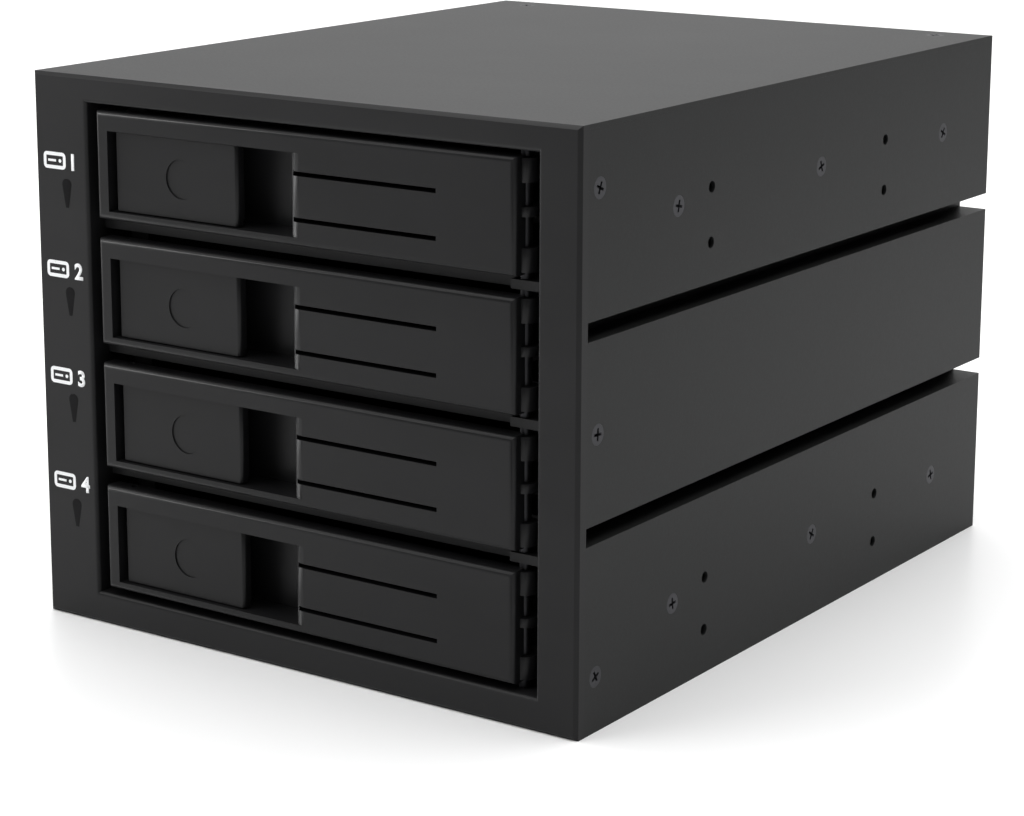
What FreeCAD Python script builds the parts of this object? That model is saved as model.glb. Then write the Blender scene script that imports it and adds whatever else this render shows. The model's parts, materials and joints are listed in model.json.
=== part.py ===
"""Hot swap drive cage: four 3.5 inch bays with hinged doors in the space of three 5.25 inch bays.

Millimetres.  X runs to the right as seen from the front, Y to the rear, Z up.  Everything is
modelled from the front plane of the bezel (y = 0), the middle of the cage's width (x = 0) and
its underside (z = 0); each sub-part's Placement then moves the origin to the bottom centre.
"""
import FreeCAD, Part
import math
import os
import Sketcher

BAYS = range(4)
HEAD_ANGLE = 45
OVERLAP = 0.5  # how far a form runs into the one it is joined to
PAST = 1  # how far a cut runs past the face it opens

# Driving dimensions.  Each is one cell of the sheet, with its name as the alias.
SIZES = {
    # outer form
    "cage_width": 146.0,
    "cage_height": 126.0,
    "shell_rear": 186.0,
    "sheet_thick": 1.0,
    "cover_hem": 7.0,
    # pressed channels for the computer's slide rails
    "channel_depth": 7.0,
    "channel_tall": 4.0,
    "channel_low": 40.3,
    "channel_high": 82.5,
    # bezel
    "bezel_thick": 3.0,
    "bezel_round": 0.8,
    "left_column": 15.7,
    "right_column": 10.0,
    "top_rail": 6.0,
    "bottom_rail": 7.3,
    "skirt_thick": 1.7,
    "skirt_depth": 10.5,
    "tab_long": 8.0,
    "tab_tall": 8.0,
    "bezel_screw_inset": 4.0,
    "bezel_screw_low": 12.0,
    "bezel_screw_drop": 13.0,
    "crossbar_setback": 5.5,
    "ear_setback": 3.2,
    # drive bays
    "bay_pitch": 28.5,
    "bay_shift": -1.0,
    "drive_width": 101.6,
    "drive_height": 26.1,
    "drive_length": 147.0,
    "drive_front": 14.0,
    "drive_gap": 0.4,
    # doors
    "door_width": 112.0,
    "door_height": 24.2,
    "door_depth": 4.4,
    "door_side_gap": 2.8,
    "door_bottom_gap": 1.6,
    "door_round": 1.2,
    "lever_round": 0.8,
    "opening_round": 0.9,
    "dimple_radius": 4.4,
    "dimple_deep": 0.3,
    "dimple_inset": 18.6,
    "well_left_rim": 3.5,
    "well_bottom_rim": 1.9,
    "well_width": 50.0,
    "well_tall": 18.0,
    "well_depth": 8.8,
    "well_wall": 1.2,
    "vent_inset": 0.8,
    "pin_floor": 0.8,
    "arm_slot_right": 5.0,
    "arm_slot_room": 1.0,
    "grip_round": 3.8,
    "vent_tall": 1.0,
    "vent_long": 38.0,
    "vent_upper_drop": 8.7,
    "vent_lower_drop": 18.5,
    # door hinge
    "pivot_inset": 0.5,
    "pivot_depth": 5.0,
    "rod_radius": 1.25,
    "running_gap": 0.06,
    "seat_gap": 0.02,
    "knuckle_radius": 2.6,
    "knuckle_long": 5.0,
    "knuckle_rim": 0.5,
    # latch lever
    "latch_width": 34.4,
    "latch_tall": 17.4,
    "latch_recess": 1.2,
    "latch_thick": 1.8,
    "latch_left_gap": 1.7,
    "latch_pin_inset": 0.8,
    "latch_pin_depth": 3.2,
    "latch_pin_radius": 0.75,
    "latch_barrel_radius": 2.0,
    "latch_arm_tall": 6.0,
    "latch_arm_inset": 1.2,
    "barrel_flat": 0.2,
    "nose_slope": 1.6,
    "rib_inset": 0.6,
    "rib_wide": 1.0,
    "rib_deep": 1.2,
    "rib_end": 1.0,
    "nose_thick": 1.5,
    "nose_engage": 1.5,
    "nose_gap": 0.3,
    "strike_reach": 2.0,
    "strike_front": 5.0,
    "strike_thick": 2.5,
    "strike_tall": 10.0,
    "spring_thick": 0.3,
    "spring_tall": 4.0,
    "spring_heel": 5.6,
    "spring_foot": 8.0,
    "spring_lift": 2.2,
    # ejector
    "lug_radius": 1.0,
    "lug_throw": 6.0,
    "lug_gap": 0.35,
    "lug_arm_thick": 2.0,
    "lug_drop": 0.8,
    "neck_rise": 1.1,
    "neck_tall": 2.0,
    "neck_slope": 6.0,
    "neck_room": 0.7,
    "fork_thick": 1.2,
    "fork_reach": 1.2,
    "fork_prong": 0.8,
    "bar_thick": 1.2,
    "bar_tall": 8.0,
    "bar_rise": 8.0,
    "bar_gap": 0.4,
    "rod_room": 0.35,
    "bar_room": 0.6,
    "foot_reach": 11.4,
    "foot_gap": 0.6,
    # drive guides
    "guide_wall": 1.5,
    "guide_gap": 0.5,
    "left_hollow": 4.8,
    "ledge_reach": 6.0,
    "land_tall": 5.0,
    "keeper_front": 40.0,
    "keeper_step": 85.0,
    "keeper_long": 8.0,
    "keeper_lip": 1.2,
    "boss_long": 8.0,
    "boss_side": 5.0,
    "spacer_radius": 3.5,
    "guide_screw_front": 37.0,
    "guide_screw_step": 61.5,
    "guide_screw_low": 19.5,
    "guide_screw_high": 105.0,
    # side mounting holes of a 5.25 inch bay
    "mount_front": 50.3,
    "mount_step": 79.25,
    "mount_low": 10.0,
    "mount_rise": 11.84,
    "mount_bay": 85.3,
    "mount_radius": 1.25,
    # rear end
    "board_front": 166.0,
    "board_thick": 1.6,
    "board_margin": 10.0,
    "board_side_gap": 1.5,
    "air_left": 9.0,
    "air_right": 42.0,
    "air_rim": 4.0,
    "drive_socket_inset": 36.0,
    "drive_socket_wide": 42.0,
    "drive_socket_tall": 5.6,
    "drive_socket_deep": 6.0,
    "drive_socket_rise": 1.2,
    "socket_wall": 1.6,
    "panel_front": 172.0,
    "panel_flange": 11.0,
    "panel_screw_inset": 12.0,
    "port_room": 2.0,
    "fan_side": 80.0,
    "fan_depth": 25.0,
    "fan_shift": 18.0,
    "fan_duct": 38.0,
    "fan_flange": 3.5,
    "fan_bolt_step": 71.5,
    "fan_hub": 17.0,
    "rotor_gap": 0.8,
    "guard_wire": 0.8,
    "guard_ring": 12.0,
    "guard_eye": 4.0,
    "power_pin_step": 5.08,
    "data_port_inset": 24.0,
    "data_port_drop": 28.0,
    "data_port_pitch": 12.5,
    "data_port_wide": 16.0,
    "data_port_tall": 6.0,
    "data_port_deep": 9.0,
    "power_port_inset": 26.5,
    "power_port_low": 20.0,
    "power_port_pitch": 18.0,
    "power_port_wide": 23.0,
    "power_port_tall": 11.0,
    "power_port_deep": 14.0,
    "power_port_cut": 2.0,
    "port_wall": 1.2,
    "strut_wide": 3.0,
    "strut_deep": 3.0,
    "shaft_radius": 1.5,
    "rotor_front": 1.5,
    # screws
    "screw_head": 2.0,
    "head_radius": 2.3,
    "head_sink": 1.0,
    "side_screw_long": 6.0,
    "board_screw_radius": 1.0,
    "light_screw_radius": 0.8,
    "fan_screw_radius": 2.0,
    "fan_head_radius": 3.4,
    "board_head": 1.3,
    "board_screw_long": 6.0,
    "light_head_radius": 1.5,
    "light_head": 0.9,
    "light_screw_long": 4.0,
    # indicator lights
    "light_inset": 9.5,
    "light_low": 27.0,
    "light_pitch": 24.7,
    "light_radius": 1.2,
    "led_board_front": 8.5,
    "led_board_left": 1.3,
    "led_board_right": 3.6,
    "led_board_end": 6.0,
    "led_boss_floor": 0.5,
    "lamp_side": 2.0,
    "lamp_deep": 1.2,
    "lamp_gap": 0.3,
    "led_boss_radius": 1.8,
}


class Size:
    """A number together with the sheet expression that gives it."""

    def __init__(self, number, text):
        self.number = float(number)
        self.text = text

    def __float__(self):
        return self.number

    def __neg__(self):
        return Size(-self.number, f"(-1 * {self.text})")

    def __add__(self, other):
        other = as_size(other)
        return Size(self.number + other.number, f"({self.text} + {other.text})")

    def __sub__(self, other):
        other = as_size(other)
        return Size(self.number - other.number, f"({self.text} - {other.text})")

    def __mul__(self, other):
        other = as_size(other)
        return Size(self.number * other.number, f"({self.text} * {other.text})")

    def __truediv__(self, other):
        other = as_size(other)
        return Size(self.number / other.number, f"({self.text} / {other.text})")

    def __radd__(self, other):
        return as_size(other) + self

    def __rsub__(self, other):
        return as_size(other) - self

    def __rmul__(self, other):
        return as_size(other) * self


def as_size(value):
    """Return value as a Size, so that plain numbers mix with sheet cells."""
    return value if isinstance(value, Size) else Size(value, f"({value!r})")


class Sheet:
    """The spreadsheet of driving dimensions; an attribute is the cell of that name."""

    def __init__(self, document, sizes):
        self.cells = document.addObject("Spreadsheet::Sheet", "Sizes")
        self.numbers = sizes
        for row, (name, number) in enumerate(sizes.items(), start=1):
            self.cells.set(f"A{row}", name)
            self.cells.set(f"B{row}", str(number))
            self.cells.setAlias(f"B{row}", name)

    def __getattr__(self, name):
        return Size(self.numbers[name], f"Sizes.{name}")


doc = FreeCAD.newDocument("hot_swap_drive_cage")
s = Sheet(doc, SIZES)
doc.recompute()
nodes = {}


# ---------------------------------------------------------------- outlines and features

def rectangle(u0, u1, v0, v1):
    """A closed outline from its two opposite corners."""
    return polygon((u0, v0), (u1, v0), (u1, v1), (u0, v1))


def polygon(*points):
    """A closed outline of straight lines."""
    return "polygon", [(as_size(u), as_size(v)) for u, v in points]


def circle(u, v, radius):
    """A full circle."""
    return "circle", (as_size(u), as_size(v), as_size(radius))


def add_polygon(sketch, points):
    """Draw a closed polygon whose corners are each held at their sheet values."""
    first = sketch.GeometryCount
    count = len(points)
    vectors = [FreeCAD.Vector(u.number, v.number, 0) for u, v in points]
    for number in range(count):
        sketch.addGeometry(Part.LineSegment(vectors[number], vectors[(number + 1) % count]), False)
    for number, (u, v) in enumerate(points):
        line = first + number
        sketch.addConstraint(Sketcher.Constraint("Coincident", line, 2, first + (number + 1) % count, 1))
        for kind, value in (("DistanceX", u), ("DistanceY", v)):
            index = sketch.addConstraint(Sketcher.Constraint(kind, -1, 1, line, 1, value.number))
            sketch.setExpression(f"Constraints[{index}]", value.text)


def add_circle(sketch, u, v, radius):
    """Draw a circle whose centre and radius are held at their sheet values."""
    centre = FreeCAD.Vector(u.number, v.number, 0)
    curve = sketch.addGeometry(Part.Circle(centre, FreeCAD.Vector(0, 0, 1), radius.number), False)
    for kind, value in (("DistanceX", u), ("DistanceY", v)):
        index = sketch.addConstraint(Sketcher.Constraint(kind, -1, 1, curve, 3, value.number))
        sketch.setExpression(f"Constraints[{index}]", value.text)
    index = sketch.addConstraint(Sketcher.Constraint("Radius", curve, radius.number))
    sketch.setExpression(f"Constraints[{index}]", radius.text)


def new_sketch(body, plane, start, outlines):
    """Sketch outlines on one of the body's own origin planes, moved to start along its row axis.

    XY reads as (x, y), XZ as (x, z) and YZ as (y, z).
    """
    sketch = body.newObject("Sketcher::SketchObject", f"{body.Name}_sketch")
    support = [item for item in body.Origin.OriginFeatures if item.Role == f"{plane}_Plane"][0]
    sketch.AttachmentSupport = [(support, "")]
    sketch.MapMode = "FlatFace"
    offset = -as_size(start) if plane == "XZ" else as_size(start)
    sketch.setExpression(".AttachmentOffset.Base.z", offset.text)
    for kind, values in outlines:
        if kind == "circle":
            add_circle(sketch, *values)
        else:
            add_polygon(sketch, values)
    return sketch


def pad(body, plane, start, length, *outlines):
    """Pad outlines from start, towards the positive end of the row axis."""
    feature = body.newObject("PartDesign::Pad", f"{body.Name}_pad")
    feature.Profile = new_sketch(body, plane, start, outlines)
    feature.setExpression("Length", as_size(length).text)
    feature.Reversed = plane == "XZ"
    return feature


def pocket(body, plane, start, length, *outlines):
    """Cut outlines from start, towards the positive end of the row axis, and prove that it cuts."""
    doc.recompute()
    before = body.Shape.Volume
    feature = body.newObject("PartDesign::Pocket", f"{body.Name}_pocket")
    feature.Profile = new_sketch(body, plane, start, outlines)
    feature.setExpression("Length", as_size(length).text)
    feature.Reversed = plane != "XZ"
    doc.recompute()
    if body.Shape.Volume >= before - 1e-6:
        raise RuntimeError(f"{feature.Name} cuts nothing")
    return feature


def spin(body, plane, *outlines):
    """Revolve outlines about the vertical axis of their plane."""
    feature = body.newObject("PartDesign::Revolution", f"{body.Name}_turned")
    sketch = new_sketch(body, plane, 0, outlines)
    feature.Profile = sketch
    feature.ReferenceAxis = (sketch, ["V_Axis"])
    feature.Angle = 360
    return feature


def ease_edges(body, size, wanted, kind="Chamfer"):
    """Chamfer, or fillet, the edges of the body's last feature for which wanted(edge) is true."""
    doc.recompute()
    base = body.Tip
    names = [f"Edge{number}" for number, edge in enumerate(base.Shape.Edges, start=1) if wanted(edge)]
    feature = body.newObject(f"PartDesign::{kind}", f"{body.Name}_{kind.lower()}")
    feature.Base = (base, names)
    feature.setExpression("Radius" if kind == "Fillet" else "Size", size.text)
    doc.recompute()
    return feature


def countersink(body, plane, surface, inward, places):
    """Cut cones for flush screw heads: from surface, inward along the row axis (+1 or -1)."""
    feature = pocket(body, plane, surface if inward > 0 else surface - s.head_sink, s.head_sink,
                     *[circle(u, v, s.head_radius) for u, v in places])
    if inward < 0:
        sketch = feature.Profile[0]
        sketch.setExpression(".AttachmentOffset.Base.z", surface.text)
    feature.Reversed = inward > 0
    feature.TaperAngle = -HEAD_ANGLE
    return feature


def lies_at(edge, **planes):
    """True for an edge that lies wholly in each named plane, such as y=0."""
    box = edge.BoundBox
    return all(
        abs(getattr(box, f"{axis.upper()}Min") - float(value)) < 1e-4
        and abs(getattr(box, f"{axis.upper()}Max") - float(value)) < 1e-4
        for axis, value in planes.items()
    )


def new_body(name):
    """A PartDesign body of this name."""
    return doc.addObject("PartDesign::Body", name)


def place(item, x=0, y=0, z=0):
    """Bind an object's position to the sheet."""
    for axis, value in (("x", x), ("y", y), ("z", z)):
        item.setExpression(f"Placement.Base.{axis}", as_size(value).text)
    return item


def copy_of(source, x=0, y=0, z=0, turn=None):
    """A copy that follows its source, turned about an axis (axis, degrees) and then moved."""
    item = doc.addObject("Part::Compound", f"{source.Name}_copy")
    item.Links = [source]
    if turn is not None:
        axis, degrees = turn
        item.Placement = FreeCAD.Placement(FreeCAD.Vector(), FreeCAD.Rotation(FreeCAD.Vector(*axis), degrees))
    return place(item, x, y, z)


def node(label, *sources, z=0):
    """Name a sub-part, made of one or more separate solids, and move it into the cage's own frame."""
    item = doc.addObject("Part::Compound", label)
    item.Label = label
    item.Links = list(sources)
    place(item, 0, -overall_depth / 2, z)
    nodes[label] = item
    return item


# ---------------------------------------------------------------- places that several pieces share

half_width = s.cage_width / 2
inside_x = half_width - s.sheet_thick
open_left = -half_width + s.left_column
open_right = half_width - s.right_column
open_top = s.cage_height - s.top_rail
open_bottom = s.bottom_rail
channel_inner = half_width - s.channel_depth - s.sheet_thick

bay_left = s.bay_shift - s.drive_width / 2 - s.drive_gap
bay_right = s.bay_shift + s.drive_width / 2 + s.drive_gap
bay_tall = s.drive_height + s.drive_gap
ledge_thick = s.bay_pitch - bay_tall

door_left = open_left + s.door_side_gap
door_right = door_left + s.door_width
door_base = open_bottom + s.door_bottom_gap
bay_base = open_bottom + ledge_thick / 4
pivot_x = door_right - s.pivot_inset
pivot_y = s.pivot_depth

well_left = door_left + s.well_left_rim
well_right = well_left + s.well_width
well_base = door_base + s.well_bottom_rim
well_top = well_base + s.well_tall
latch_middle = well_base + s.well_tall / 2
latch_pin_x = well_left + s.latch_left_gap + s.latch_pin_inset

strike_tip = open_left + s.strike_reach
nose_left = strike_tip - s.nose_engage
nose_front = s.strike_front + s.strike_thick + s.nose_gap

side_screw_radius = s.head_radius - s.head_sink
drive_rear = s.drive_front + s.drive_length
guide_front = s.bezel_thick + s.skirt_depth + s.guide_gap
bar_right = pivot_x - s.rod_radius - s.rod_room
bar_left = bar_right - s.bar_thick
bar_base = door_base + s.bar_rise
guide_right_wall = bar_right + s.bar_room
guide_left_wall = bay_left - s.left_hollow

fan_front = s.panel_front + s.sheet_thick
fan_rear = fan_front + s.fan_depth
fan_z = s.cage_height / 2
overall_depth = fan_rear + 2 * s.guard_wire + s.screw_head


# ---------------------------------------------------------------- sheet-metal shell

def side_profile(sign):
    """The corners of one side sheet, from the bottom outside, up, over and down the inside."""
    outer, inner = sign * half_width, sign * inside_x
    deep, deep_inner = sign * (half_width - s.channel_depth), sign * channel_inner
    climb, descent = [(outer, as_size(0))], []
    for low in (s.channel_low, s.channel_high):
        high = low + s.channel_tall
        climb += [(outer, low), (deep, low), (deep, high), (outer, high)]
        descent = [
            (inner, high + s.sheet_thick), (deep_inner, high + s.sheet_thick),
            (deep_inner, low - s.sheet_thick), (inner, low - s.sheet_thick),
        ] + descent
    rim = s.cage_height - s.sheet_thick
    return climb + [(outer, rim), (inner, rim)] + descent + [(inner, s.sheet_thick)]


def mount_places():
    """(y, z) of the tapped mounting holes in one side."""
    return [
        (s.mount_front + step * s.mount_step, s.mount_low + rise * s.mount_rise + bay * s.mount_bay)
        for step in range(2) for rise in range(2) for bay in range(2)
    ]


def guide_screw_places():
    """(y, z) of the screws that hold a drive guide to its side sheet."""
    return [
        (s.guide_screw_front + step * s.guide_screw_step, height)
        for step in range(3) for height in (s.guide_screw_low, s.guide_screw_high)
    ]


def bezel_screw_places():
    """(y, z) of the screws that hold the bezel's tabs to a side sheet."""
    heights = (s.bezel_screw_low, s.cage_height / 2, s.cage_height - s.bezel_screw_drop)
    return [(s.bezel_thick + s.bezel_screw_inset, height) for height in heights]


def build_shell():
    """Bottom and both sides in one folded sheet, with two pressed channels a side."""
    shell = new_body("shell_form")
    right = side_profile(1)
    left = side_profile(-1)
    outline = right + left[::-1]
    pad(shell, "XZ", s.bezel_thick, s.shell_rear - s.bezel_thick, polygon(*outline))
    screws = guide_screw_places() + bezel_screw_places()
    holes = [circle(y, z, s.mount_radius) for y, z in mount_places()]
    holes += [circle(y, z, side_screw_radius + s.seat_gap) for y, z in screws]
    pocket(shell, "YZ", -half_width - PAST, s.cage_width + 2 * PAST, *holes)
    countersink(shell, "YZ", half_width, -1, screws)
    countersink(shell, "YZ", -half_width, 1, screws)
    pocket(shell, "XY", -PAST, s.sheet_thick + 2 * PAST,
           *[circle(x, panel_screw_y, side_screw_radius + s.seat_gap) for x in panel_screw_xs])
    countersink(shell, "XY", as_size(0), 1, [(x, panel_screw_y) for x in panel_screw_xs])
    node("chassis_shell", shell)


def build_cover():
    """Flat top sheet with two side flanges folded down inside the shell."""
    cover = new_body("cover_form")
    top, under = s.cage_height, s.cage_height - s.sheet_thick
    hem = under - s.cover_hem
    pad(cover, "XZ", s.bezel_thick, s.shell_rear - s.bezel_thick, polygon(
        (-half_width, under), (-inside_x, under), (-inside_x, hem), (-inside_x + s.sheet_thick, hem),
        (-inside_x + s.sheet_thick, under), (inside_x - s.sheet_thick, under),
        (inside_x - s.sheet_thick, hem), (inside_x, hem), (inside_x, under), (half_width, under),
        (half_width, top), (-half_width, top),
    ))
    pocket(cover, "XY", under - PAST, s.sheet_thick + 2 * PAST,
           *[circle(x, panel_screw_y, side_screw_radius + s.seat_gap) for x in panel_screw_xs])
    countersink(cover, "XY", top, -1, [(x, panel_screw_y) for x in panel_screw_xs])
    node("top_cover", cover)


panel_screw_y = s.panel_front + s.sheet_thick + s.panel_flange / 2
panel_screw_xs = (-half_width + s.panel_screw_inset, half_width - s.panel_screw_inset)


# ---------------------------------------------------------------- bezel

def light_places():
    """(x, z) of the four indicator lights in the left column."""
    return [(-half_width + s.light_inset, s.light_low + bay * s.light_pitch) for bay in BAYS]


def build_bezel():
    """Moulded front frame: face, skirt round the opening, crossbars, hinge ears and strike lips."""
    bezel = new_body("bezel_form")
    pad(bezel, "XZ", 0, s.bezel_thick, rectangle(-half_width, half_width, 0, s.cage_height))
    ease_edges(bezel, s.bezel_round, lambda edge: lies_at(edge, y=0))
    wall = s.skirt_thick
    pad(bezel, "XZ", s.bezel_thick, s.skirt_depth,
        rectangle(open_left - wall, open_right + wall, open_bottom - wall, open_top + wall))
    pocket(bezel, "XZ", -PAST, s.bezel_thick + s.skirt_depth + 2 * PAST,
           rectangle(open_left, open_right, open_bottom, open_top))
    ease_edges(bezel, s.opening_round, lambda edge: lies_at(edge, y=0) and (
        lies_at(edge, x=open_left) or lies_at(edge, x=open_right)
        or lies_at(edge, z=open_bottom) or lies_at(edge, z=open_top)), "Fillet")
    skirt_rear = s.bezel_thick + s.skirt_depth
    gaps = [bay_base + bay_tall + bay * s.bay_pitch for bay in (0, 1, 2)]
    pad(bezel, "XZ", s.crossbar_setback, skirt_rear - s.crossbar_setback,
        *[rectangle(open_left - OVERLAP, open_right + OVERLAP, low, low + ledge_thick) for low in gaps])
    pad(bezel, "XZ", s.ear_setback, s.crossbar_setback - s.ear_setback,
        *[rectangle(pivot_x - s.knuckle_radius, open_right + OVERLAP, low, low + ledge_thick)
          for low in gaps])
    middles = [latch_middle + bay * s.bay_pitch for bay in BAYS]
    pad(bezel, "XZ", s.strike_front, s.strike_thick,
        *[rectangle(open_left - OVERLAP, strike_tip, z - s.strike_tall / 2, z + s.strike_tall / 2)
          for z in middles])
    tabs = []
    for sign, root in ((-1, -channel_inner), (1, open_right + wall - OVERLAP)):
        tab_end = sign * (inside_x - s.sheet_thick - s.bar_gap)
        tabs += [rectangle(tab_end, root, z - s.tab_tall / 2, z + s.tab_tall / 2)
                 for _, z in bezel_screw_places()]
    pad(bezel, "XZ", s.bezel_thick, s.tab_long, *tabs)
    pad(bezel, "XZ", s.bezel_thick, s.led_board_front - s.bezel_thick,
        *[circle(x, z, s.led_boss_radius) for x, z in led_screw_places()])
    pocket(bezel, "XY", open_bottom - wall - PAST, open_top - open_bottom + 2 * wall + 2 * PAST,
           circle(pivot_x, pivot_y, s.rod_radius + s.seat_gap))
    pocket(bezel, "XZ", -PAST, s.bezel_thick + 2 * PAST,
           *[circle(x, z, s.light_radius + s.seat_gap) for x, z in light_places()])
    pocket(bezel, "XZ", s.bezel_thick + s.led_boss_floor, s.led_board_front,
           *[circle(x, z, s.light_screw_radius + s.seat_gap) for x, z in led_screw_places()])
    pocket(bezel, "YZ", -half_width - PAST, s.cage_width + 2 * PAST,
           *[circle(y, z, side_screw_radius + s.seat_gap) for y, z in bezel_screw_places()])
    node("front_bezel", bezel)


def led_screw_places():
    """(x, z) of the two screws of the light board, midway between lights."""
    x = -half_width + s.light_inset + s.led_board_left
    return [(x, s.light_low + (bay + 0.5) * s.light_pitch) for bay in (0, 2)]


# ---------------------------------------------------------------- doors

def build_door():
    """One door: face with a latch well, finger grip, air slots, hinge knuckles and ejector lug."""
    door = new_body("door_form")
    door_top = door_base + s.door_height
    pad(door, "XZ", 0, s.door_depth, rectangle(door_left, door_right, door_base, door_top))
    wall = s.well_wall
    pad(door, "XZ", s.door_depth, s.well_depth + wall - s.door_depth,
        rectangle(well_left - wall, well_right + wall, well_base - wall, well_top + wall))
    pocket(door, "XZ", -PAST, s.well_depth + PAST, rectangle(well_left, well_right, well_base, well_top))
    ease_edges(door, s.grip_round, lambda edge: lies_at(edge, x=well_right, y=0), "Fillet")
    ease_edges(door, s.door_round, lambda edge: lies_at(edge, y=0) and (
        lies_at(edge, z=door_base) or lies_at(edge, z=door_top)
        or lies_at(edge, x=door_left) or lies_at(edge, x=door_right)), "Fillet")
    for drop in (s.vent_upper_drop, s.vent_lower_drop):
        middle = door_top - drop
        pocket(door, "XZ", -PAST, s.door_depth + 2 * PAST, rectangle(
            well_right + wall + s.vent_inset, well_right + wall + s.vent_long,
            middle - s.vent_tall / 2, middle + s.vent_tall / 2))
    arm_half = s.latch_arm_tall / 2 + s.arm_slot_room
    pocket(door, "XZ", s.door_depth, s.well_depth + wall, rectangle(
        well_left - wall - PAST, latch_pin_x + s.arm_slot_right,
        latch_middle - arm_half, latch_middle + arm_half))
    for low in (door_base + s.knuckle_rim, door_top - s.knuckle_rim - s.knuckle_long):
        pad(door, "XY", low, s.knuckle_long, circle(pivot_x, pivot_y, s.knuckle_radius))
    reach = s.lug_throw * math.sqrt(0.5)
    lug_x, lug_y = pivot_x - reach, pivot_y + reach
    half = s.lug_radius / 2 * math.sqrt(2)
    arm_low = bar_base + s.neck_rise + s.neck_tall + s.neck_room
    pad(door, "XY", arm_low, s.lug_arm_thick, circle(pivot_x, pivot_y, s.knuckle_radius))
    pad(door, "XY", arm_low, s.lug_arm_thick, polygon(
        (pivot_x - half, pivot_y - half), (pivot_x + half, pivot_y + half),
        (lug_x + half, lug_y + half), (lug_x - half, lug_y - half)))
    pad(door, "XY", bar_base + s.lug_drop, arm_low + s.lug_arm_thick - bar_base - s.lug_drop,
        circle(lug_x, lug_y, s.lug_radius))
    pocket(door, "XY", door_base - PAST, s.door_height + 2 * PAST,
           circle(pivot_x, pivot_y, s.rod_radius + s.running_gap))
    pocket(door, "XY", door_base + s.pin_floor, s.door_height,
           circle(latch_pin_x, s.latch_pin_depth, s.latch_pin_radius + s.seat_gap))
    return door


def build_latch():
    """Lever of one door: a plate to pull, a barrel on the pin, and an arm with the nose."""
    latch = new_body("latch_form")
    plate_left = well_left + s.latch_left_gap
    plate_right = plate_left + s.latch_width
    low = latch_middle - s.latch_tall / 2
    high = latch_middle + s.latch_tall / 2
    pad(latch, "XZ", s.latch_recess, s.latch_thick, rectangle(plate_left, plate_right, low, high))
    ease_edges(latch, s.lever_round,
               lambda edge: lies_at(edge, x=plate_right, y=s.latch_recess), "Fillet")
    pocket(latch, "XZ", s.latch_recess - PAST, s.dimple_deep + PAST,
           circle(plate_left + s.dimple_inset, latch_middle, s.dimple_radius))
    pad(latch, "XY", low, s.latch_tall, circle(latch_pin_x, s.latch_pin_depth, s.latch_barrel_radius))
    nose_rear = nose_front + s.nose_thick
    arm_right = latch_pin_x + s.latch_barrel_radius - s.barrel_flat
    ramp = s.nose_thick * 0.7  # the sloped part of the nose, which rides over the strike
    pad(latch, "XY", latch_middle - s.latch_arm_tall / 2, s.latch_arm_tall, polygon(
        (latch_pin_x - s.latch_arm_inset, s.latch_pin_depth), (arm_right, s.latch_pin_depth),
        (arm_right, nose_rear), (nose_left + s.nose_slope, nose_rear), (nose_left, nose_rear - ramp),
        (nose_left, nose_front), (latch_pin_x - s.latch_arm_inset, nose_front)))
    rib_right = plate_right - s.rib_inset
    pad(latch, "XZ", s.latch_recess + s.latch_thick, s.rib_deep,
        rectangle(rib_right - s.rib_wide, rib_right, low + s.rib_end, high - s.rib_end))
    pocket(latch, "XY", low - PAST, s.latch_tall + 2 * PAST,
           circle(latch_pin_x, s.latch_pin_depth, s.latch_pin_radius + s.running_gap))
    return latch


def build_spring():
    """Bent leaf: its foot lies on the well's back wall and its tip bears on the lever's arm."""
    spring = new_body("spring_form")
    back = s.well_depth
    tip_x = latch_pin_x + s.latch_barrel_radius - s.barrel_flat
    heel = latch_pin_x + s.spring_heel
    thick = s.spring_thick
    tip_y = back - s.spring_lift
    foot = heel + s.spring_foot
    pad(spring, "XY", latch_middle - s.spring_tall / 2, s.spring_tall, polygon(
        (foot, back), (heel, back), (tip_x, tip_y), (tip_x, tip_y - thick),
        (heel, back - thick), (foot, back - thick)))
    return spring


def build_ejector():
    """Flat bar with a fork at the front, round the door's lug, and a foot behind the drive."""
    bar = new_body("ejector_form")
    reach = s.lug_throw * math.sqrt(0.5)
    lug_x, lug_y = pivot_x - reach, pivot_y + reach
    slot_half = s.lug_radius + s.lug_gap
    fork_half = slot_half + s.fork_prong
    neck_base = bar_base + s.neck_rise
    neck_top = neck_base + s.neck_tall
    travel = s.lug_throw * math.sqrt(2)
    wide_front = lug_y + travel
    foot_front = drive_rear + s.foot_gap
    foot_rear = foot_front + s.bar_thick
    pad(bar, "YZ", bar_left, s.bar_thick, polygon(
        (lug_y - fork_half, neck_base), (wide_front, neck_base), (wide_front, bar_base),
        (foot_rear, bar_base), (foot_rear, bar_base + s.bar_tall),
        (wide_front + s.neck_slope, bar_base + s.bar_tall), (wide_front, neck_top),
        (lug_y - fork_half, neck_top)))
    fork_left = lug_x - s.lug_radius - s.fork_reach
    pad(bar, "XY", neck_base, s.fork_thick, rectangle(
        fork_left, bar_left, lug_y - fork_half, lug_y + fork_half))
    pocket(bar, "XY", neck_base - PAST, s.neck_tall + 2 * PAST, rectangle(
        fork_left - PAST, bar_left - s.seat_gap, lug_y - slot_half, lug_y + slot_half))
    pad(bar, "XZ", foot_front, s.bar_thick, rectangle(
        bar_right - s.foot_reach, bar_right, bar_base, bar_base + s.bar_tall))
    return bar


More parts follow.
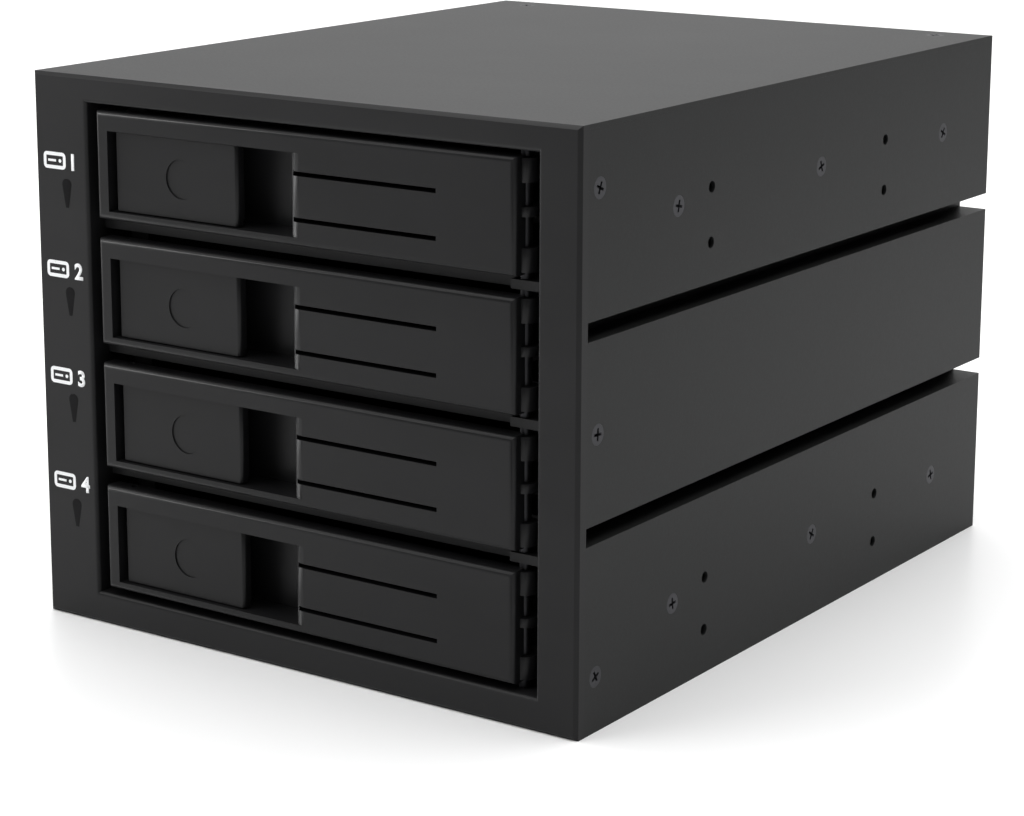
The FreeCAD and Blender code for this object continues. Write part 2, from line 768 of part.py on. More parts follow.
def build_door_sets():
    """The doors, 1 at the top, with their levers, pins, springs and ejectors, and the hinge rod."""
    door, latch, spring, bar = build_door(), build_latch(), build_spring(), build_ejector()
    pin = new_body("latch_pin_form")
    pad(pin, "XY", door_base + s.pin_floor, s.door_height - 2 * s.pin_floor,
        circle(latch_pin_x, s.latch_pin_depth, s.latch_pin_radius))
    for bay in BAYS:
        rise = (len(BAYS) - 1 - bay) * s.bay_pitch
        node(f"door_{bay + 1}", door, z=rise)
        node(f"latch_lever_{bay + 1}", latch, z=rise)
        node(f"latch_pin_{bay + 1}", pin, z=rise)
        node(f"latch_spring_{bay + 1}", spring, z=rise)
        node(f"ejector_{bay + 1}", bar, z=rise)
    rod = new_body("hinge_rod_form")
    pad(rod, "XY", open_bottom - s.skirt_thick, open_top - open_bottom + 2 * s.skirt_thick,
        circle(pivot_x, pivot_y, s.rod_radius))
    node("hinge_rod", rod)


# ---------------------------------------------------------------- drive guides

def guide_profile(face, wall_inner, sign, bays):
    """Section of a guide for two bays: a wall with ledges, and lands for the drives' sides.

    The lower guide has a ledge under each bay and one on top, on which the upper guide stands.
    """
    wall_outer = wall_inner + sign * s.guide_wall
    shelf = face - sign * s.ledge_reach
    tops = [bay_base + bay * s.bay_pitch for bay in range(5)]
    foot = tops[0] - ledge_thick if bays[0] == 0 else tops[bays[0]]
    corners = [(wall_outer, foot), (wall_outer, tops[bays[-1] + 1])]
    for bay in reversed(bays):
        ceiling, floor = tops[bay + 1] - ledge_thick, tops[bay]
        corners += [
            (shelf, tops[bay + 1]), (shelf, ceiling), (face, ceiling), (face, ceiling - s.land_tall),
            (wall_inner, ceiling - s.land_tall), (wall_inner, floor + s.land_tall),
            (face, floor + s.land_tall), (face, floor)]
    return corners + [(shelf, tops[0]), (shelf, foot)] if bays[0] == 0 else corners


def keeper_outlines(wall_inner, bays):
    """Hooks above and below each ejector bar that keep it against the right guide's wall."""
    lip_out = bar_left - s.bar_gap
    lip_in = lip_out - s.keeper_lip
    outlines = []
    for bay in bays:
        rise = bay * s.bay_pitch
        low, high = bar_base + rise, bar_base + rise + s.bar_tall
        land = bay_base + rise + s.land_tall - OVERLAP
        ceiling = bay_base + rise + bay_tall - s.land_tall + OVERLAP
        for edge, seat, tip in (
            (land, low - s.bar_gap, low + s.keeper_lip), (ceiling, high + s.bar_gap, high - s.keeper_lip),
        ):
            outlines.append(polygon((wall_inner, edge), (lip_in, edge), (lip_in, tip), (lip_out, tip),
                                    (lip_out, seat), (wall_inner, seat)))
    return outlines


def build_guide(label, face, wall_inner, sign, bays):
    """A moulded side wall with ledges for two drives; sign is +1 on the right, -1 on the left."""
    guide = new_body(f"{label}_form")
    wall_outer = wall_inner + sign * s.guide_wall
    pad(guide, "XZ", guide_front, s.board_front - guide_front,
        polygon(*guide_profile(face, wall_inner, sign, bays)))
    if sign > 0:
        for start in (s.keeper_front, s.keeper_front + s.keeper_step):
            pad(guide, "XZ", start, s.keeper_long, *keeper_outlines(wall_inner, bays))
    split = bay_base + 2 * s.bay_pitch
    bosses, holes = [[(place, height) for place, height in places
                      if (float(height) < float(split)) == (bays[0] == 0)]
                     for places in ([(0, z) for z in board_screw_heights()], guide_screw_places())]
    pad(guide, "XZ", s.board_front - s.boss_long, s.boss_long, *[
        rectangle(wall_outer - sign * OVERLAP, wall_outer + sign * s.boss_side,
                  z - s.boss_side / 2, z + s.boss_side / 2) for _, z in bosses])
    pocket(guide, "XZ", s.board_front - s.boss_long + PAST, s.boss_long,
           *[circle(wall_outer + sign * s.boss_side / 2, z, s.board_screw_radius + s.seat_gap)
             for _, z in bosses])
    pocket(guide, "YZ", wall_inner - PAST if sign > 0 else wall_outer - PAST, s.guide_wall + 2 * PAST,
           *[circle(y, z, side_screw_radius + s.seat_gap) for y, z in holes])
    node(label, guide)
    return wall_outer


def board_screw_heights():
    """Heights of the screws that hold the backplane: two in each lower guide, one in each upper."""
    split = bay_base + 2 * s.bay_pitch
    return [s.board_margin + s.boss_side / 2, split - s.boss_side / 2,
            s.cage_height - s.board_margin - s.boss_side / 2]


def build_guides():
    """A lower and an upper guide on each side, with the spacers that hold them off the side sheets."""
    spacers = []
    for label, face, wall_inner, sign in (
        ("drive_guide_right", bay_right, guide_right_wall, 1),
        ("drive_guide_left", bay_left, guide_left_wall, -1),
    ):
        for level, bays in (("lower", (0, 1)), ("upper", (2, 3))):
            outer = build_guide(f"{label}_{level}", face, wall_inner, sign, bays)
        length = inside_x - outer if sign > 0 else inside_x + outer
        spacer = new_body(f"{label}_spacer_form")
        start = outer if sign > 0 else -inside_x
        corners = [(s.spacer_radius * math.cos(math.radians(60 * side)),
                    s.spacer_radius * math.sin(math.radians(60 * side))) for side in range(6)]
        pad(spacer, "YZ", start, length, polygon(*corners))
        pocket(spacer, "YZ", start - PAST, length + 2 * PAST, circle(0, 0, side_screw_radius + s.seat_gap))
        spacers += [copy_of(spacer, y=y, z=z) for y, z in guide_screw_places()]
    node("guide_spacers", *spacers)


# ---------------------------------------------------------------- screws

def flush_screw(name, shank_long):
    """A countersunk screw whose head ends at z = 0 and whose point is below."""
    form = new_body(name)
    shank = s.head_radius - s.head_sink
    spin(form, "XZ", polygon((0, -shank_long), (shank, -shank_long), (shank, -s.head_sink),
                             (s.head_radius, 0), (0, 0)))
    return form


def screw(name, head_radius, head_tall, shank_radius, shank_long):
    """A pan-head screw that stands on z = 0 with its head up."""
    form = new_body(name)
    spin(form, "XZ", polygon(
        (0, -shank_long), (shank_radius, -shank_long), (shank_radius, 0), (head_radius, 0),
        (head_radius, head_tall * 0.6), (head_radius * 0.75, head_tall), (0, head_tall)))
    return form


board_screw_xs = (guide_right_wall + s.guide_wall + s.boss_side / 2,
                  guide_left_wall - s.guide_wall - s.boss_side / 2)

TO_RIGHT = ((0, 1, 0), 90)
TO_LEFT = ((0, 1, 0), -90)
TO_REAR = ((1, 0, 0), -90)
TO_BELOW = ((1, 0, 0), 180)


def build_screws():
    """Every group of like screws, each group a node.  Those in sheet metal lie flush in it."""
    flush = flush_screw("side_screw_form", s.side_screw_long)
    sides = ((half_width, TO_RIGHT), (-half_width, TO_LEFT))
    node("guide_screws", *[
        copy_of(flush, x, y, z, turn) for x, turn in sides for y, z in guide_screw_places()])
    node("bezel_screws", *[
        copy_of(flush, x, y, z, turn) for x, turn in sides for y, z in bezel_screw_places()])
    short = flush_screw("cover_screw_form", s.sheet_thick * 2)
    node("cover_screws", *[
        copy_of(short, x, panel_screw_y, z, turn) for x in panel_screw_xs
        for z, turn in ((s.cage_height, None), (0, TO_BELOW))])
    board = screw("board_screw_form", s.head_radius, s.board_head, s.board_screw_radius, s.board_screw_long)
    node("board_screws", *[
        copy_of(board, x, s.board_front + s.board_thick, z, TO_REAR)
        for x in board_screw_xs for z in board_screw_heights()])
    light = screw("light_screw_form", s.light_head_radius, s.light_head,
                  s.light_screw_radius, s.light_screw_long)
    node("led_board_screws", *[
        copy_of(light, x, s.led_board_front + s.board_thick, z, TO_REAR) for x, z in led_screw_places()])
    shank = s.fan_depth + 2 * s.guard_wire + s.sheet_thick
    fan = screw("fan_screw_form", s.fan_head_radius, s.screw_head, s.fan_screw_radius, shank)
    node("fan_screws", *[
        copy_of(fan, x, fan_rear + 2 * s.guard_wire, z, TO_REAR) for x, z in fan_bolt_places()])


# ---------------------------------------------------------------- rear end

def fan_bolt_places():
    """(x, z) of the fan's four corner holes."""
    half = s.fan_bolt_step / 2
    return [(s.fan_shift + u * half, fan_z + v * half) for u in (-1, 1) for v in (-1, 1)]


data_port_x = -half_width + s.data_port_inset
power_port_x = -half_width + s.power_port_inset
data_port_heights = [s.cage_height - s.data_port_drop - s.data_port_pitch * port for port in BAYS]
power_port_heights = [s.power_port_low, s.power_port_low + s.power_port_pitch]


def build_panel():
    """Rear sheet with the fan's duct, the windows for the sockets, and four folded flanges."""
    panel = new_body("panel_form")
    thick = s.sheet_thick
    top = s.cage_height - thick
    edge = inside_x - thick - s.bar_gap
    outline = rectangle(-edge, edge, thick, top)
    pad(panel, "XZ", s.panel_front, thick, outline)
    pad(panel, "XZ", fan_front, s.panel_flange,
        rectangle(-edge, edge, thick, 2 * thick), rectangle(-edge, edge, top - thick, top))
    notch = edge - channel_inner + s.bar_gap
    notches = []
    for low in (s.channel_low, s.channel_high):
        bottom = low - thick - s.bar_gap
        ceiling = low + s.channel_tall + thick + s.bar_gap
        notches += [rectangle(edge - notch, edge + 1, bottom, ceiling),
                    rectangle(-edge - 1, notch - edge, bottom, ceiling)]
    pocket(panel, "XZ", s.panel_front - PAST, thick + 2 * PAST, *notches)
    pocket(panel, "XZ", s.panel_front - PAST, thick + 2 * PAST, circle(s.fan_shift, fan_z, s.fan_duct))
    pocket(panel, "XZ", s.panel_front - PAST, thick + 2 * PAST,
           *[circle(x, z, s.fan_screw_radius + s.seat_gap) for x, z in fan_bolt_places()])
    pocket(panel, "XZ", s.panel_front - PAST, thick + 2 * PAST,
           *[rectangle(x - wide / 2 - s.port_room, x + wide / 2 + s.port_room,
                       heights[0] - tall / 2 - s.port_room, heights[-1] + tall / 2 + s.port_room)
             for x, wide, tall, heights in (
                 (data_port_x, s.data_port_wide, s.data_port_tall, data_port_heights[::-1]),
                 (power_port_x, s.power_port_wide, s.power_port_tall, power_port_heights))])
    pocket(panel, "XY", 0, s.cage_height + PAST,
           *[circle(x, panel_screw_y, side_screw_radius + s.seat_gap) for x in panel_screw_xs])
    node("rear_panel", panel)


def build_board():
    """Backplane with air windows beside each socket."""
    board = new_body("backplane_form")
    edge = channel_inner - s.board_side_gap
    low, high = s.board_margin / 2, s.cage_height - s.board_margin / 2
    pad(board, "XZ", s.board_front, s.board_thick, rectangle(-edge, edge, low, high))
    vents = []
    for bay in BAYS:
        base = bay_base + bay * s.bay_pitch
        vents.append(rectangle(s.bay_shift + s.air_left, s.bay_shift + s.air_right,
                               base + s.air_rim, base + bay_tall - s.air_rim))
    pocket(board, "XZ", s.board_front - PAST, s.board_thick + 2 * PAST, *vents)
    holes = [circle(x, z, s.board_screw_radius + s.seat_gap)
             for x in board_screw_xs for z in board_screw_heights()]
    pocket(board, "XZ", s.board_front - PAST, s.board_thick + 2 * PAST, *holes)
    node("backplane_board", board)


def build_sockets():
    """The drive sockets in front of the board, and the data and power sockets behind it."""
    drive = new_body("drive_socket_form")
    left, base = s.bay_shift - s.drive_socket_inset, bay_base + s.drive_socket_rise
    right, top = left + s.drive_socket_wide, base + s.drive_socket_tall
    front, rim = s.board_front - s.drive_socket_deep, s.socket_wall
    pad(drive, "XZ", front, s.drive_socket_deep, rectangle(left, right, base, top))
    bridge = left + s.drive_socket_wide / 3
    pocket(drive, "XZ", front - PAST, s.drive_socket_deep,
           rectangle(left + rim, bridge - rim / 2, base + rim, top - rim),
           rectangle(bridge + rim / 2, right - rim, base + rim, top - rim))
    node("drive_sockets", *[copy_of(drive, z=bay * s.bay_pitch) for bay in BAYS])

    rear = s.board_front + s.board_thick
    half_wide, half_tall, rim = s.data_port_wide / 2, s.data_port_tall / 2, s.port_wall
    data = new_body("data_port_form")
    pad(data, "XZ", rear, s.data_port_deep, rectangle(
        data_port_x - half_wide, data_port_x + half_wide, -half_tall, half_tall))
    pocket(data, "XZ", rear + rim, s.data_port_deep, polygon(
        (data_port_x - half_wide + rim, rim - half_tall), (data_port_x + half_wide - rim, rim - half_tall),
        (data_port_x + half_wide - rim, half_tall - rim),
        (data_port_x + half_wide - 2 * rim, half_tall - rim),
        (data_port_x + half_wide - 2 * rim, rim / 2), (data_port_x - half_wide + rim, rim / 2)))
    pad(data, "XZ", rear + rim - s.seat_gap, s.data_port_deep - 2 * rim, rectangle(
        data_port_x - half_wide + 2 * rim, data_port_x + half_wide - 3 * rim, -rim / 2, s.seat_gap))
    node("data_ports", *[copy_of(data, z=height) for height in data_port_heights])

    half_wide, half_tall, cut = s.power_port_wide / 2, s.power_port_tall / 2, s.power_port_cut
    power = new_body("power_port_form")
    outlines = [polygon(
        (power_port_x - half_wide + inset, inset - half_tall),
        (power_port_x + half_wide - inset, inset - half_tall),
        (power_port_x + half_wide - inset, half_tall - cut),
        (power_port_x + half_wide - cut, half_tall - inset),
        (power_port_x - half_wide + cut, half_tall - inset),
        (power_port_x - half_wide + inset, half_tall - cut)) for inset in (as_size(0), rim)]
    pad(power, "XZ", rear, s.power_port_deep, outlines[0])
    pocket(power, "XZ", rear + 2 * rim, s.power_port_deep, outlines[1])
    pins = [power_port_x + (pin - 1.5) * s.power_pin_step for pin in range(4)]
    pad(power, "XZ", rear + 2 * rim - s.seat_gap, s.power_port_deep - 4 * rim,
        *[rectangle(x - rim, x + rim, -rim, rim) for x in pins])
    node("power_sockets", *[copy_of(power, z=height) for height in power_port_heights])


def build_lights():
    """The light board behind the left column, its four lights and the pipes to the face."""
    board = new_body("led_board_form")
    x = -half_width + s.light_inset
    low = s.light_low - s.led_board_end
    high = s.light_low + 3 * s.light_pitch + s.led_board_end
    pad(board, "XZ", s.led_board_front, s.board_thick,
        rectangle(x - s.led_board_left, x + s.led_board_right, low, high))
    pocket(board, "XZ", s.led_board_front - PAST, s.board_thick + 2 * PAST,
           *[circle(u, z, s.light_screw_radius + s.seat_gap) for u, z in led_screw_places()])
    node("led_board", board)
    light = new_body("light_form")
    half = s.lamp_side / 2
    pad(light, "XZ", s.led_board_front - s.lamp_deep, s.lamp_deep, rectangle(x - half, x + half, -half, half))
    node("indicator_lights", *[copy_of(light, z=z) for _, z in light_places()])
    pipe = new_body("light_pipe_form")
    pad(pipe, "XZ", 0, s.led_board_front - s.lamp_deep - s.lamp_gap, circle(x, 0, s.light_radius))
    node("light_pipes", *[copy_of(pipe, z=z) for _, z in light_places()])


# ---------------------------------------------------------------- fan

def build_fan():
    """Square fan: frame with duct and struts, bladed rotor, and wire guard."""
    frame = new_body("fan_frame_form")
    half = s.fan_side / 2
    cx, cz = s.fan_shift, fan_z
    square = rectangle(cx - half, cx + half, cz - half, cz + half)
    pad(frame, "XZ", fan_front, s.fan_flange, square)
    ease_edges(frame, s.fan_flange, lambda edge: edge.Length < float(s.fan_flange) + 0.01)
    pad(frame, "XZ", fan_front, s.fan_depth, circle(cx, cz, half - 0.4))
    pad(frame, "XZ", fan_rear - s.fan_flange, s.fan_flange, square)
    pocket(frame, "XZ", fan_front - PAST, s.fan_depth + 2 * PAST, circle(cx, cz, s.fan_duct))
    strut_front = fan_rear - s.strut_deep
    pad(frame, "XZ", strut_front, s.strut_deep, circle(cx, cz, s.fan_hub))
    for u, v in ((1, 1), (1, -1), (-1, -1), (-1, 1)):
        near, far = s.fan_hub / 2, (s.fan_duct + PAST) * math.sqrt(0.5)
        side = s.strut_wide / 2 * math.sqrt(0.5)
        pad(frame, "XZ", strut_front, s.strut_deep, polygon(
            (cx + u * (near - side), cz + v * (near + side)),
            (cx + u * (far - side), cz + v * (far + side)),
            (cx + u * (far + side), cz + v * (far - side)),
            (cx + u * (near + side), cz + v * (near - side))))
    pocket(frame, "XZ", fan_front - PAST, s.fan_depth + 2 * PAST,
           *[circle(x, z, s.fan_screw_radius + s.seat_gap) for x, z in fan_bolt_places()])
    pocket(frame, "XZ", strut_front - PAST, s.strut_deep, circle(cx, cz, s.shaft_radius + s.running_gap))
    node("fan_frame", frame)
    node("fan_rotor", build_rotor())
    node("fan_guard", build_guard())


def blade_section(height, angle, front, rear, thick):
    """Flat section of a blade, across the plane z = height, leaning by angle from the axis."""
    lean = math.tan(math.radians(angle)) * (rear - front) / 2
    corners = [
        FreeCAD.Vector(x, y, height)
        for x, y in ((-lean, front), (lean, rear), (lean + thick, rear), (thick - lean, front))
    ]
    return Part.makePolygon(corners + corners[:1])


def build_rotor():
    """Hub, shaft and seven twisted blades, fused; the blades are lofts trimmed to the duct."""
    front = float(fan_front + s.rotor_front)
    rear = float(fan_rear - s.strut_deep - s.rotor_gap)
    centre = FreeCAD.Vector(float(s.fan_shift), 0, float(fan_z))
    hub_radius = float(s.fan_hub)
    tip = float(s.fan_duct - s.rotor_gap)
    origin, axis = FreeCAD.Vector(), FreeCAD.Vector(0, 1, 0)
    start = FreeCAD.Vector(0, front, 0)
    hub = Part.makeCylinder(hub_radius, rear - front, start, axis)
    hub = hub.makeChamfer(1.2, [edge for edge in hub.Edges if abs(edge.BoundBox.YMax - front) < 1e-6])
    shape = hub.fuse(Part.makeCylinder(
        float(s.shaft_radius), rear - front + float(s.rotor_gap) + float(s.strut_deep) / 2, start, axis))
    blade = Part.makeLoft([
        blade_section(hub_radius * 0.8, 28, front + 1.5, rear - 1, 1.6),
        blade_section(tip + 1, 46, front + 1.5, rear - 1, 1.0),
    ], True, True)
    blade = blade.common(Part.makeCylinder(tip, rear - front, start, axis))
    for number in range(7):
        turned = blade.copy()
        turned.rotate(origin, axis, number * 360 / 7)
        shape = shape.fuse(turned)
    shape.translate(centre)
    rotor = doc.addObject("Part::Feature", "rotor_form")
    rotor.Shape = shape
    return rotor


def build_guard():
    """Stamped finger guard: three rings on two crossed bars that end in eyes under the screws."""
    guard = new_body("guard_form")
    wide, deep = s.guard_wire, 2 * s.guard_wire
    cx, cz = s.fan_shift, fan_z
    half = s.fan_bolt_step / 2
    slant = wide * math.sqrt(2)
    pad(guard, "XZ", fan_rear, deep, polygon(
        (cx - half, cz - half - slant), (cx + half, cz + half - slant),
        (cx + half, cz + half + slant), (cx - half, cz - half + slant)))
    pad(guard, "XZ", fan_rear, deep, polygon(
        (cx - half, cz + half - slant), (cx + half, cz - half - slant),
        (cx + half, cz - half + slant), (cx - half, cz + half + slant)))
    for radius in (s.guard_ring, 2 * s.guard_ring, 3 * s.guard_ring):
        pad(guard, "XZ", fan_rear, deep, circle(cx, cz, radius + wide), circle(cx, cz, radius - wide))
    pad(guard, "XZ", fan_rear, deep, *[circle(x, z, s.guard_eye) for x, z in fan_bolt_places()])
    pocket(guard, "XZ", fan_rear - PAST, deep + 2 * PAST,
           *[circle(x, z, s.fan_screw_radius + s.seat_gap) for x, z in fan_bolt_places()])
    return guard


# ---------------------------------------------------------------- build, check and write

build_shell()
build_cover()
build_bezel()
build_door_sets()
build_guides()
build_screws()
build_panel()
build_board()
build_sockets()
build_lights()
build_fan()
doc.recompute()

for item in doc.Objects:
    if {"Invalid", "Error"} & set(item.State):
        raise RuntimeError(f"{item.Name} failed: {item.State}")
os.makedirs("parts", exist_ok=True)
for label, item in nodes.items():
    if item.Shape.isNull() or not item.Shape.isValid():
        raise RuntimeError(f"{label} has no valid shape")
for label, item in nodes.items():
    item.Shape.exportStep(f"parts/{label}.step")
    print(label, len(item.Shape.Solids), round(item.Shape.Volume, 1))
print("depth", float(overall_depth))
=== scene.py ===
"""Finishes a hot swap drive cage: paint, moulded plastic, printed numbers, screws and the stage.

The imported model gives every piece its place.  Each operator dresses one piece or one group of
like pieces; main() calls them in order.  All lengths are metres.
"""

import json
import math

import bmesh
import bpy
from mathutils import Matrix, Vector

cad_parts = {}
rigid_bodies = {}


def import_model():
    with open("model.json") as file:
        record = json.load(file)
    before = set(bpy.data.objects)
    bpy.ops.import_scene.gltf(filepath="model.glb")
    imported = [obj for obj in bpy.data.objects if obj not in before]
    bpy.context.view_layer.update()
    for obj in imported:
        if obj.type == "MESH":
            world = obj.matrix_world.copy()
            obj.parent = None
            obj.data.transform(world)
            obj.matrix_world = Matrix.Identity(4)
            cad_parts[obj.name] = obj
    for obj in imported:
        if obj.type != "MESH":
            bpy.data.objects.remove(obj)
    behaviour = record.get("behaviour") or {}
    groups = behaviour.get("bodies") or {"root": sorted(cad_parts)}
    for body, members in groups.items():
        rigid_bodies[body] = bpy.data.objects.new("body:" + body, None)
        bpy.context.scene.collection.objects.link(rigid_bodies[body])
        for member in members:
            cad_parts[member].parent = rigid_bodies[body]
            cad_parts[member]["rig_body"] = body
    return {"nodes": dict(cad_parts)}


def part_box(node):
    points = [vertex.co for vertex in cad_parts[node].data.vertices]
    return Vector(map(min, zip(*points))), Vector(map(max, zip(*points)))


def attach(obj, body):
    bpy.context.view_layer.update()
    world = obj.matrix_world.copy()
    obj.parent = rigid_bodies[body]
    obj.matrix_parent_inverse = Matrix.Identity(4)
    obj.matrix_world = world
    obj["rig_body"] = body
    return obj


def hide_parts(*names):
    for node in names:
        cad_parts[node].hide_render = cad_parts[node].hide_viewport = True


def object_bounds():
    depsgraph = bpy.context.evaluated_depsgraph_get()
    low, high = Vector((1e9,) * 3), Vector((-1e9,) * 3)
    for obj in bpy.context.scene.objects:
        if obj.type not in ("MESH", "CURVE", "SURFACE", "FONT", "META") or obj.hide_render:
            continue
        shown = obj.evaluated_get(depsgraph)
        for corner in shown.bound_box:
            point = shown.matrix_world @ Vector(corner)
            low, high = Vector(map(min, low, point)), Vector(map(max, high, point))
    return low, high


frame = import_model()
CAD_LOW, CAD_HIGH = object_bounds()

bl_info = {
    "name": "Drive cage finish",
    "version": (1, 0, 0),
    "blender": (4, 5, 0),
    "location": "View3D > Sidebar > Drive cage",
    "description": "Dresses a hot swap drive cage and builds its studio",
    "category": "Object",
}

MM = 0.001
BAYS = (1, 2, 3, 4)
GUIDES = tuple(f"drive_guide_{side}_{level}"
               for side in ("left", "right") for level in ("lower", "upper"))
CAGE = "cage"


# ---------------------------------------------------------------- settings

class CageFinish(bpy.types.PropertyGroup):
    """Sizes and colours of the finished cage."""

    paint: bpy.props.FloatVectorProperty(
        name="Paint", description="Powder coat of the sheet metal", subtype="COLOR",
        size=3, min=0, max=1, default=(0.011, 0.0114, 0.0114))
    bezel: bpy.props.FloatVectorProperty(
        name="Bezel", description="Moulded frame round the doors", subtype="COLOR",
        size=3, min=0, max=1, default=(0.009, 0.009, 0.0095))
    door: bpy.props.FloatVectorProperty(
        name="Door", description="Moulded doors and latch levers", subtype="COLOR",
        size=3, min=0, max=1, default=(0.008, 0.008, 0.0085))
    ink: bpy.props.FloatVectorProperty(
        name="Ink", description="Printed numbers", subtype="COLOR",
        size=3, min=0, max=1, default=(0.82, 0.83, 0.84))
    number_height: bpy.props.FloatProperty(
        name="Number height", description="Height of a printed bay number", unit="LENGTH",
        min=1 * MM, max=6 * MM, default=3.8 * MM)
    number_rise: bpy.props.FloatProperty(
        name="Number rise", description="From a light up to the middle of its number", unit="LENGTH",
        min=2 * MM, max=10 * MM, default=5.2 * MM)
    number_margin: bpy.props.FloatProperty(
        name="Number margin", description="From the bezel's left edge to a number", unit="LENGTH",
        min=1 * MM, max=6 * MM, default=2.7 * MM)
    window_height: bpy.props.FloatProperty(
        name="Window height", description="From a light's middle down to the tip of its smoked window",
        unit="LENGTH", min=2 * MM, max=8 * MM, default=5.2 * MM)
    ink_thickness: bpy.props.FloatProperty(
        name="Ink thickness", description="How far the print stands on the bezel", unit="LENGTH",
        min=0.005 * MM, max=0.1 * MM, default=0.03 * MM)
    edge: bpy.props.FloatProperty(
        name="Edge", description="Rounding of moulded edges", unit="LENGTH",
        min=0, max=1 * MM, default=0.3 * MM)
    sheet_edge: bpy.props.FloatProperty(
        name="Sheet edge", description="Rounding of cut and folded sheet metal", unit="LENGTH",
        min=0, max=0.4 * MM, default=0.15 * MM)


class StageSetup(bpy.types.PropertyGroup):
    """Camera, floor and lights."""

    camera_place: bpy.props.FloatVectorProperty(
        name="Camera place", description="Where the camera stands, from the bezel's lower middle",
        subtype="XYZ", unit="LENGTH", size=3, default=(0.358, -0.439, 0.204))
    camera_yaw: bpy.props.FloatProperty(
        name="Camera yaw", description="Turn to the left of the cage's length", subtype="ANGLE",
        default=math.radians(35.3))
    camera_pitch: bpy.props.FloatProperty(
        name="Camera pitch", description="Tilt below the horizon", subtype="ANGLE",
        default=math.radians(12.28))
    lens: bpy.props.FloatProperty(
        name="Lens", description="Focal length in millimetres on a 36 mm sensor", default=96.2)
    shift: bpy.props.FloatVectorProperty(
        name="Shift", description="Sideways and upward shift of the lens", size=2,
        default=(0.039, -0.0977))
    floor: bpy.props.FloatVectorProperty(
        name="Floor", description="Colour of floor and background", subtype="COLOR",
        size=3, min=0, max=1, default=(0.9, 0.9, 0.9))
    floor_side: bpy.props.FloatProperty(
        name="Floor side", description="Width of the floor", unit="LENGTH", default=6.0)
    world_light: bpy.props.FloatProperty(
        name="Room light", description="Strength of the even light all round", default=0.08)
    top_light: bpy.props.FloatProperty(
        name="Top light", description="Power of the softbox overhead", unit="POWER", default=150)
    back_light: bpy.props.FloatProperty(
        name="Back light", description="Power of the softbox behind the cage", unit="POWER", default=22)
    left_light: bpy.props.FloatProperty(
        name="Left light", description="Power of the low softbox on the left", unit="POWER", default=12)
    front_light: bpy.props.FloatProperty(
        name="Front light", description="Power of the raised softbox in front on the left",
        unit="POWER", default=12)


# ---------------------------------------------------------------- shader building

# Sockets of a Mix node that blends colours, by number, since their names repeat.
MIX_FACTOR, MIX_FIRST, MIX_SECOND, MIX_RESULT = 0, 6, 7, 2


class Socket:
    """A shader socket that takes part in Python arithmetic by adding Math nodes."""

    def __init__(self, shader, socket):
        self.shader = shader
        self.socket = socket

    def _math(self, operation, *values):
        return self.shader.add("ShaderNodeMath", {"operation": operation}, *values)

    def __add__(self, other):
        return self._math("ADD", self, other)

    def __sub__(self, other):
        return self._math("SUBTRACT", self, other)

    def __mul__(self, other):
        return self._math("MULTIPLY", self, other)

    def __radd__(self, other):
        return self._math("ADD", other, self)

    def __rsub__(self, other):
        return self._math("SUBTRACT", other, self)

    def __rmul__(self, other):
        return self._math("MULTIPLY", other, self)

    def below(self, limit):
        """1 where the value is under limit, else 0."""
        return self._math("LESS_THAN", self, limit)

    def above(self, limit):
        """1 where the value is over limit, else 0."""
        return self._math("GREATER_THAN", self, limit)

    def wrapped(self, low, high):
        """The value folded into the range from low to high, again and again."""
        return self._math("WRAP", self, high, low)

    def smooth(self, low, high):
        """0 at low, 1 at high, with an even step between."""
        return self.shader.add("ShaderNodeMapRange", {"interpolation_type": "SMOOTHSTEP"},
                               self, low, high, 0.0, 1.0)


class Shader:
    """One material with a Principled surface."""

    def __init__(self, name, **constants):
        self.material = bpy.data.materials.new(name)
        self.material.use_nodes = True
        self.tree = self.material.node_tree
        self.surface = self.tree.nodes["Principled BSDF"]
        for socket, value in constants.items():
            self.surface.inputs[socket.replace("_", " ")].default_value = value
        self.coords = self.add("ShaderNodeTexCoord", {}, output="Object")

    def add(self, kind, settings, *values, output=0, **named):
        """Add a node of this kind: settings first, then the values or links of its inputs."""
        item = self.tree.nodes.new(kind)
        for key, value in settings.items():
            setattr(item, key, value)
        inputs = list(enumerate(values))
        inputs += [(key.replace("_", " "), value) for key, value in named.items()]
        for key, value in inputs:
            if isinstance(value, Socket):
                self.tree.links.new(value.socket, item.inputs[key])
            elif value is not None:
                item.inputs[key].default_value = value
        return Socket(self, item.outputs[output])

    def noise(self, scale, detail=3.0, stretch=None):
        """Even noise from 0 to 1 on the piece's own coordinates; scale is bumps a metre."""
        coords = self.coords
        if stretch is not None:
            coords = self.add("ShaderNodeMapping", {}, coords, Scale=stretch)
        return self.add("ShaderNodeTexNoise", {}, coords, Scale=scale, Detail=detail, Roughness=0.55)

    def mix(self, factor, first, second):
        """Blend two colours."""
        item = self.tree.nodes.new("ShaderNodeMix")
        item.data_type = "RGBA"
        for key, value in ((MIX_FACTOR, factor), (MIX_FIRST, first), (MIX_SECOND, second)):
            if isinstance(value, Socket):
                self.tree.links.new(value.socket, item.inputs[key])
            else:
                item.inputs[key].default_value = value if key == MIX_FACTOR else (*value[:3], 1)
        return Socket(self, item.outputs[MIX_RESULT])

    def bump(self, height, strength, distance, under=None):
        """Normals disturbed by a height, on top of the bump under it."""
        return self.add("ShaderNodeBump", {}, Strength=strength, Distance=distance,
                        Height=height, Normal=under)

    def feed(self, **sockets):
        """Link values to the surface's inputs and return the material."""
        for name, value in sockets.items():
            self.tree.links.new(value.socket, self.surface.inputs[name.replace("_", " ")])
        return self.material


def shade(colour, factor):
    """A colour made lighter or darker."""
    return tuple(min(1.0, channel * factor) for channel in colour[:3])


# ---------------------------------------------------------------- materials

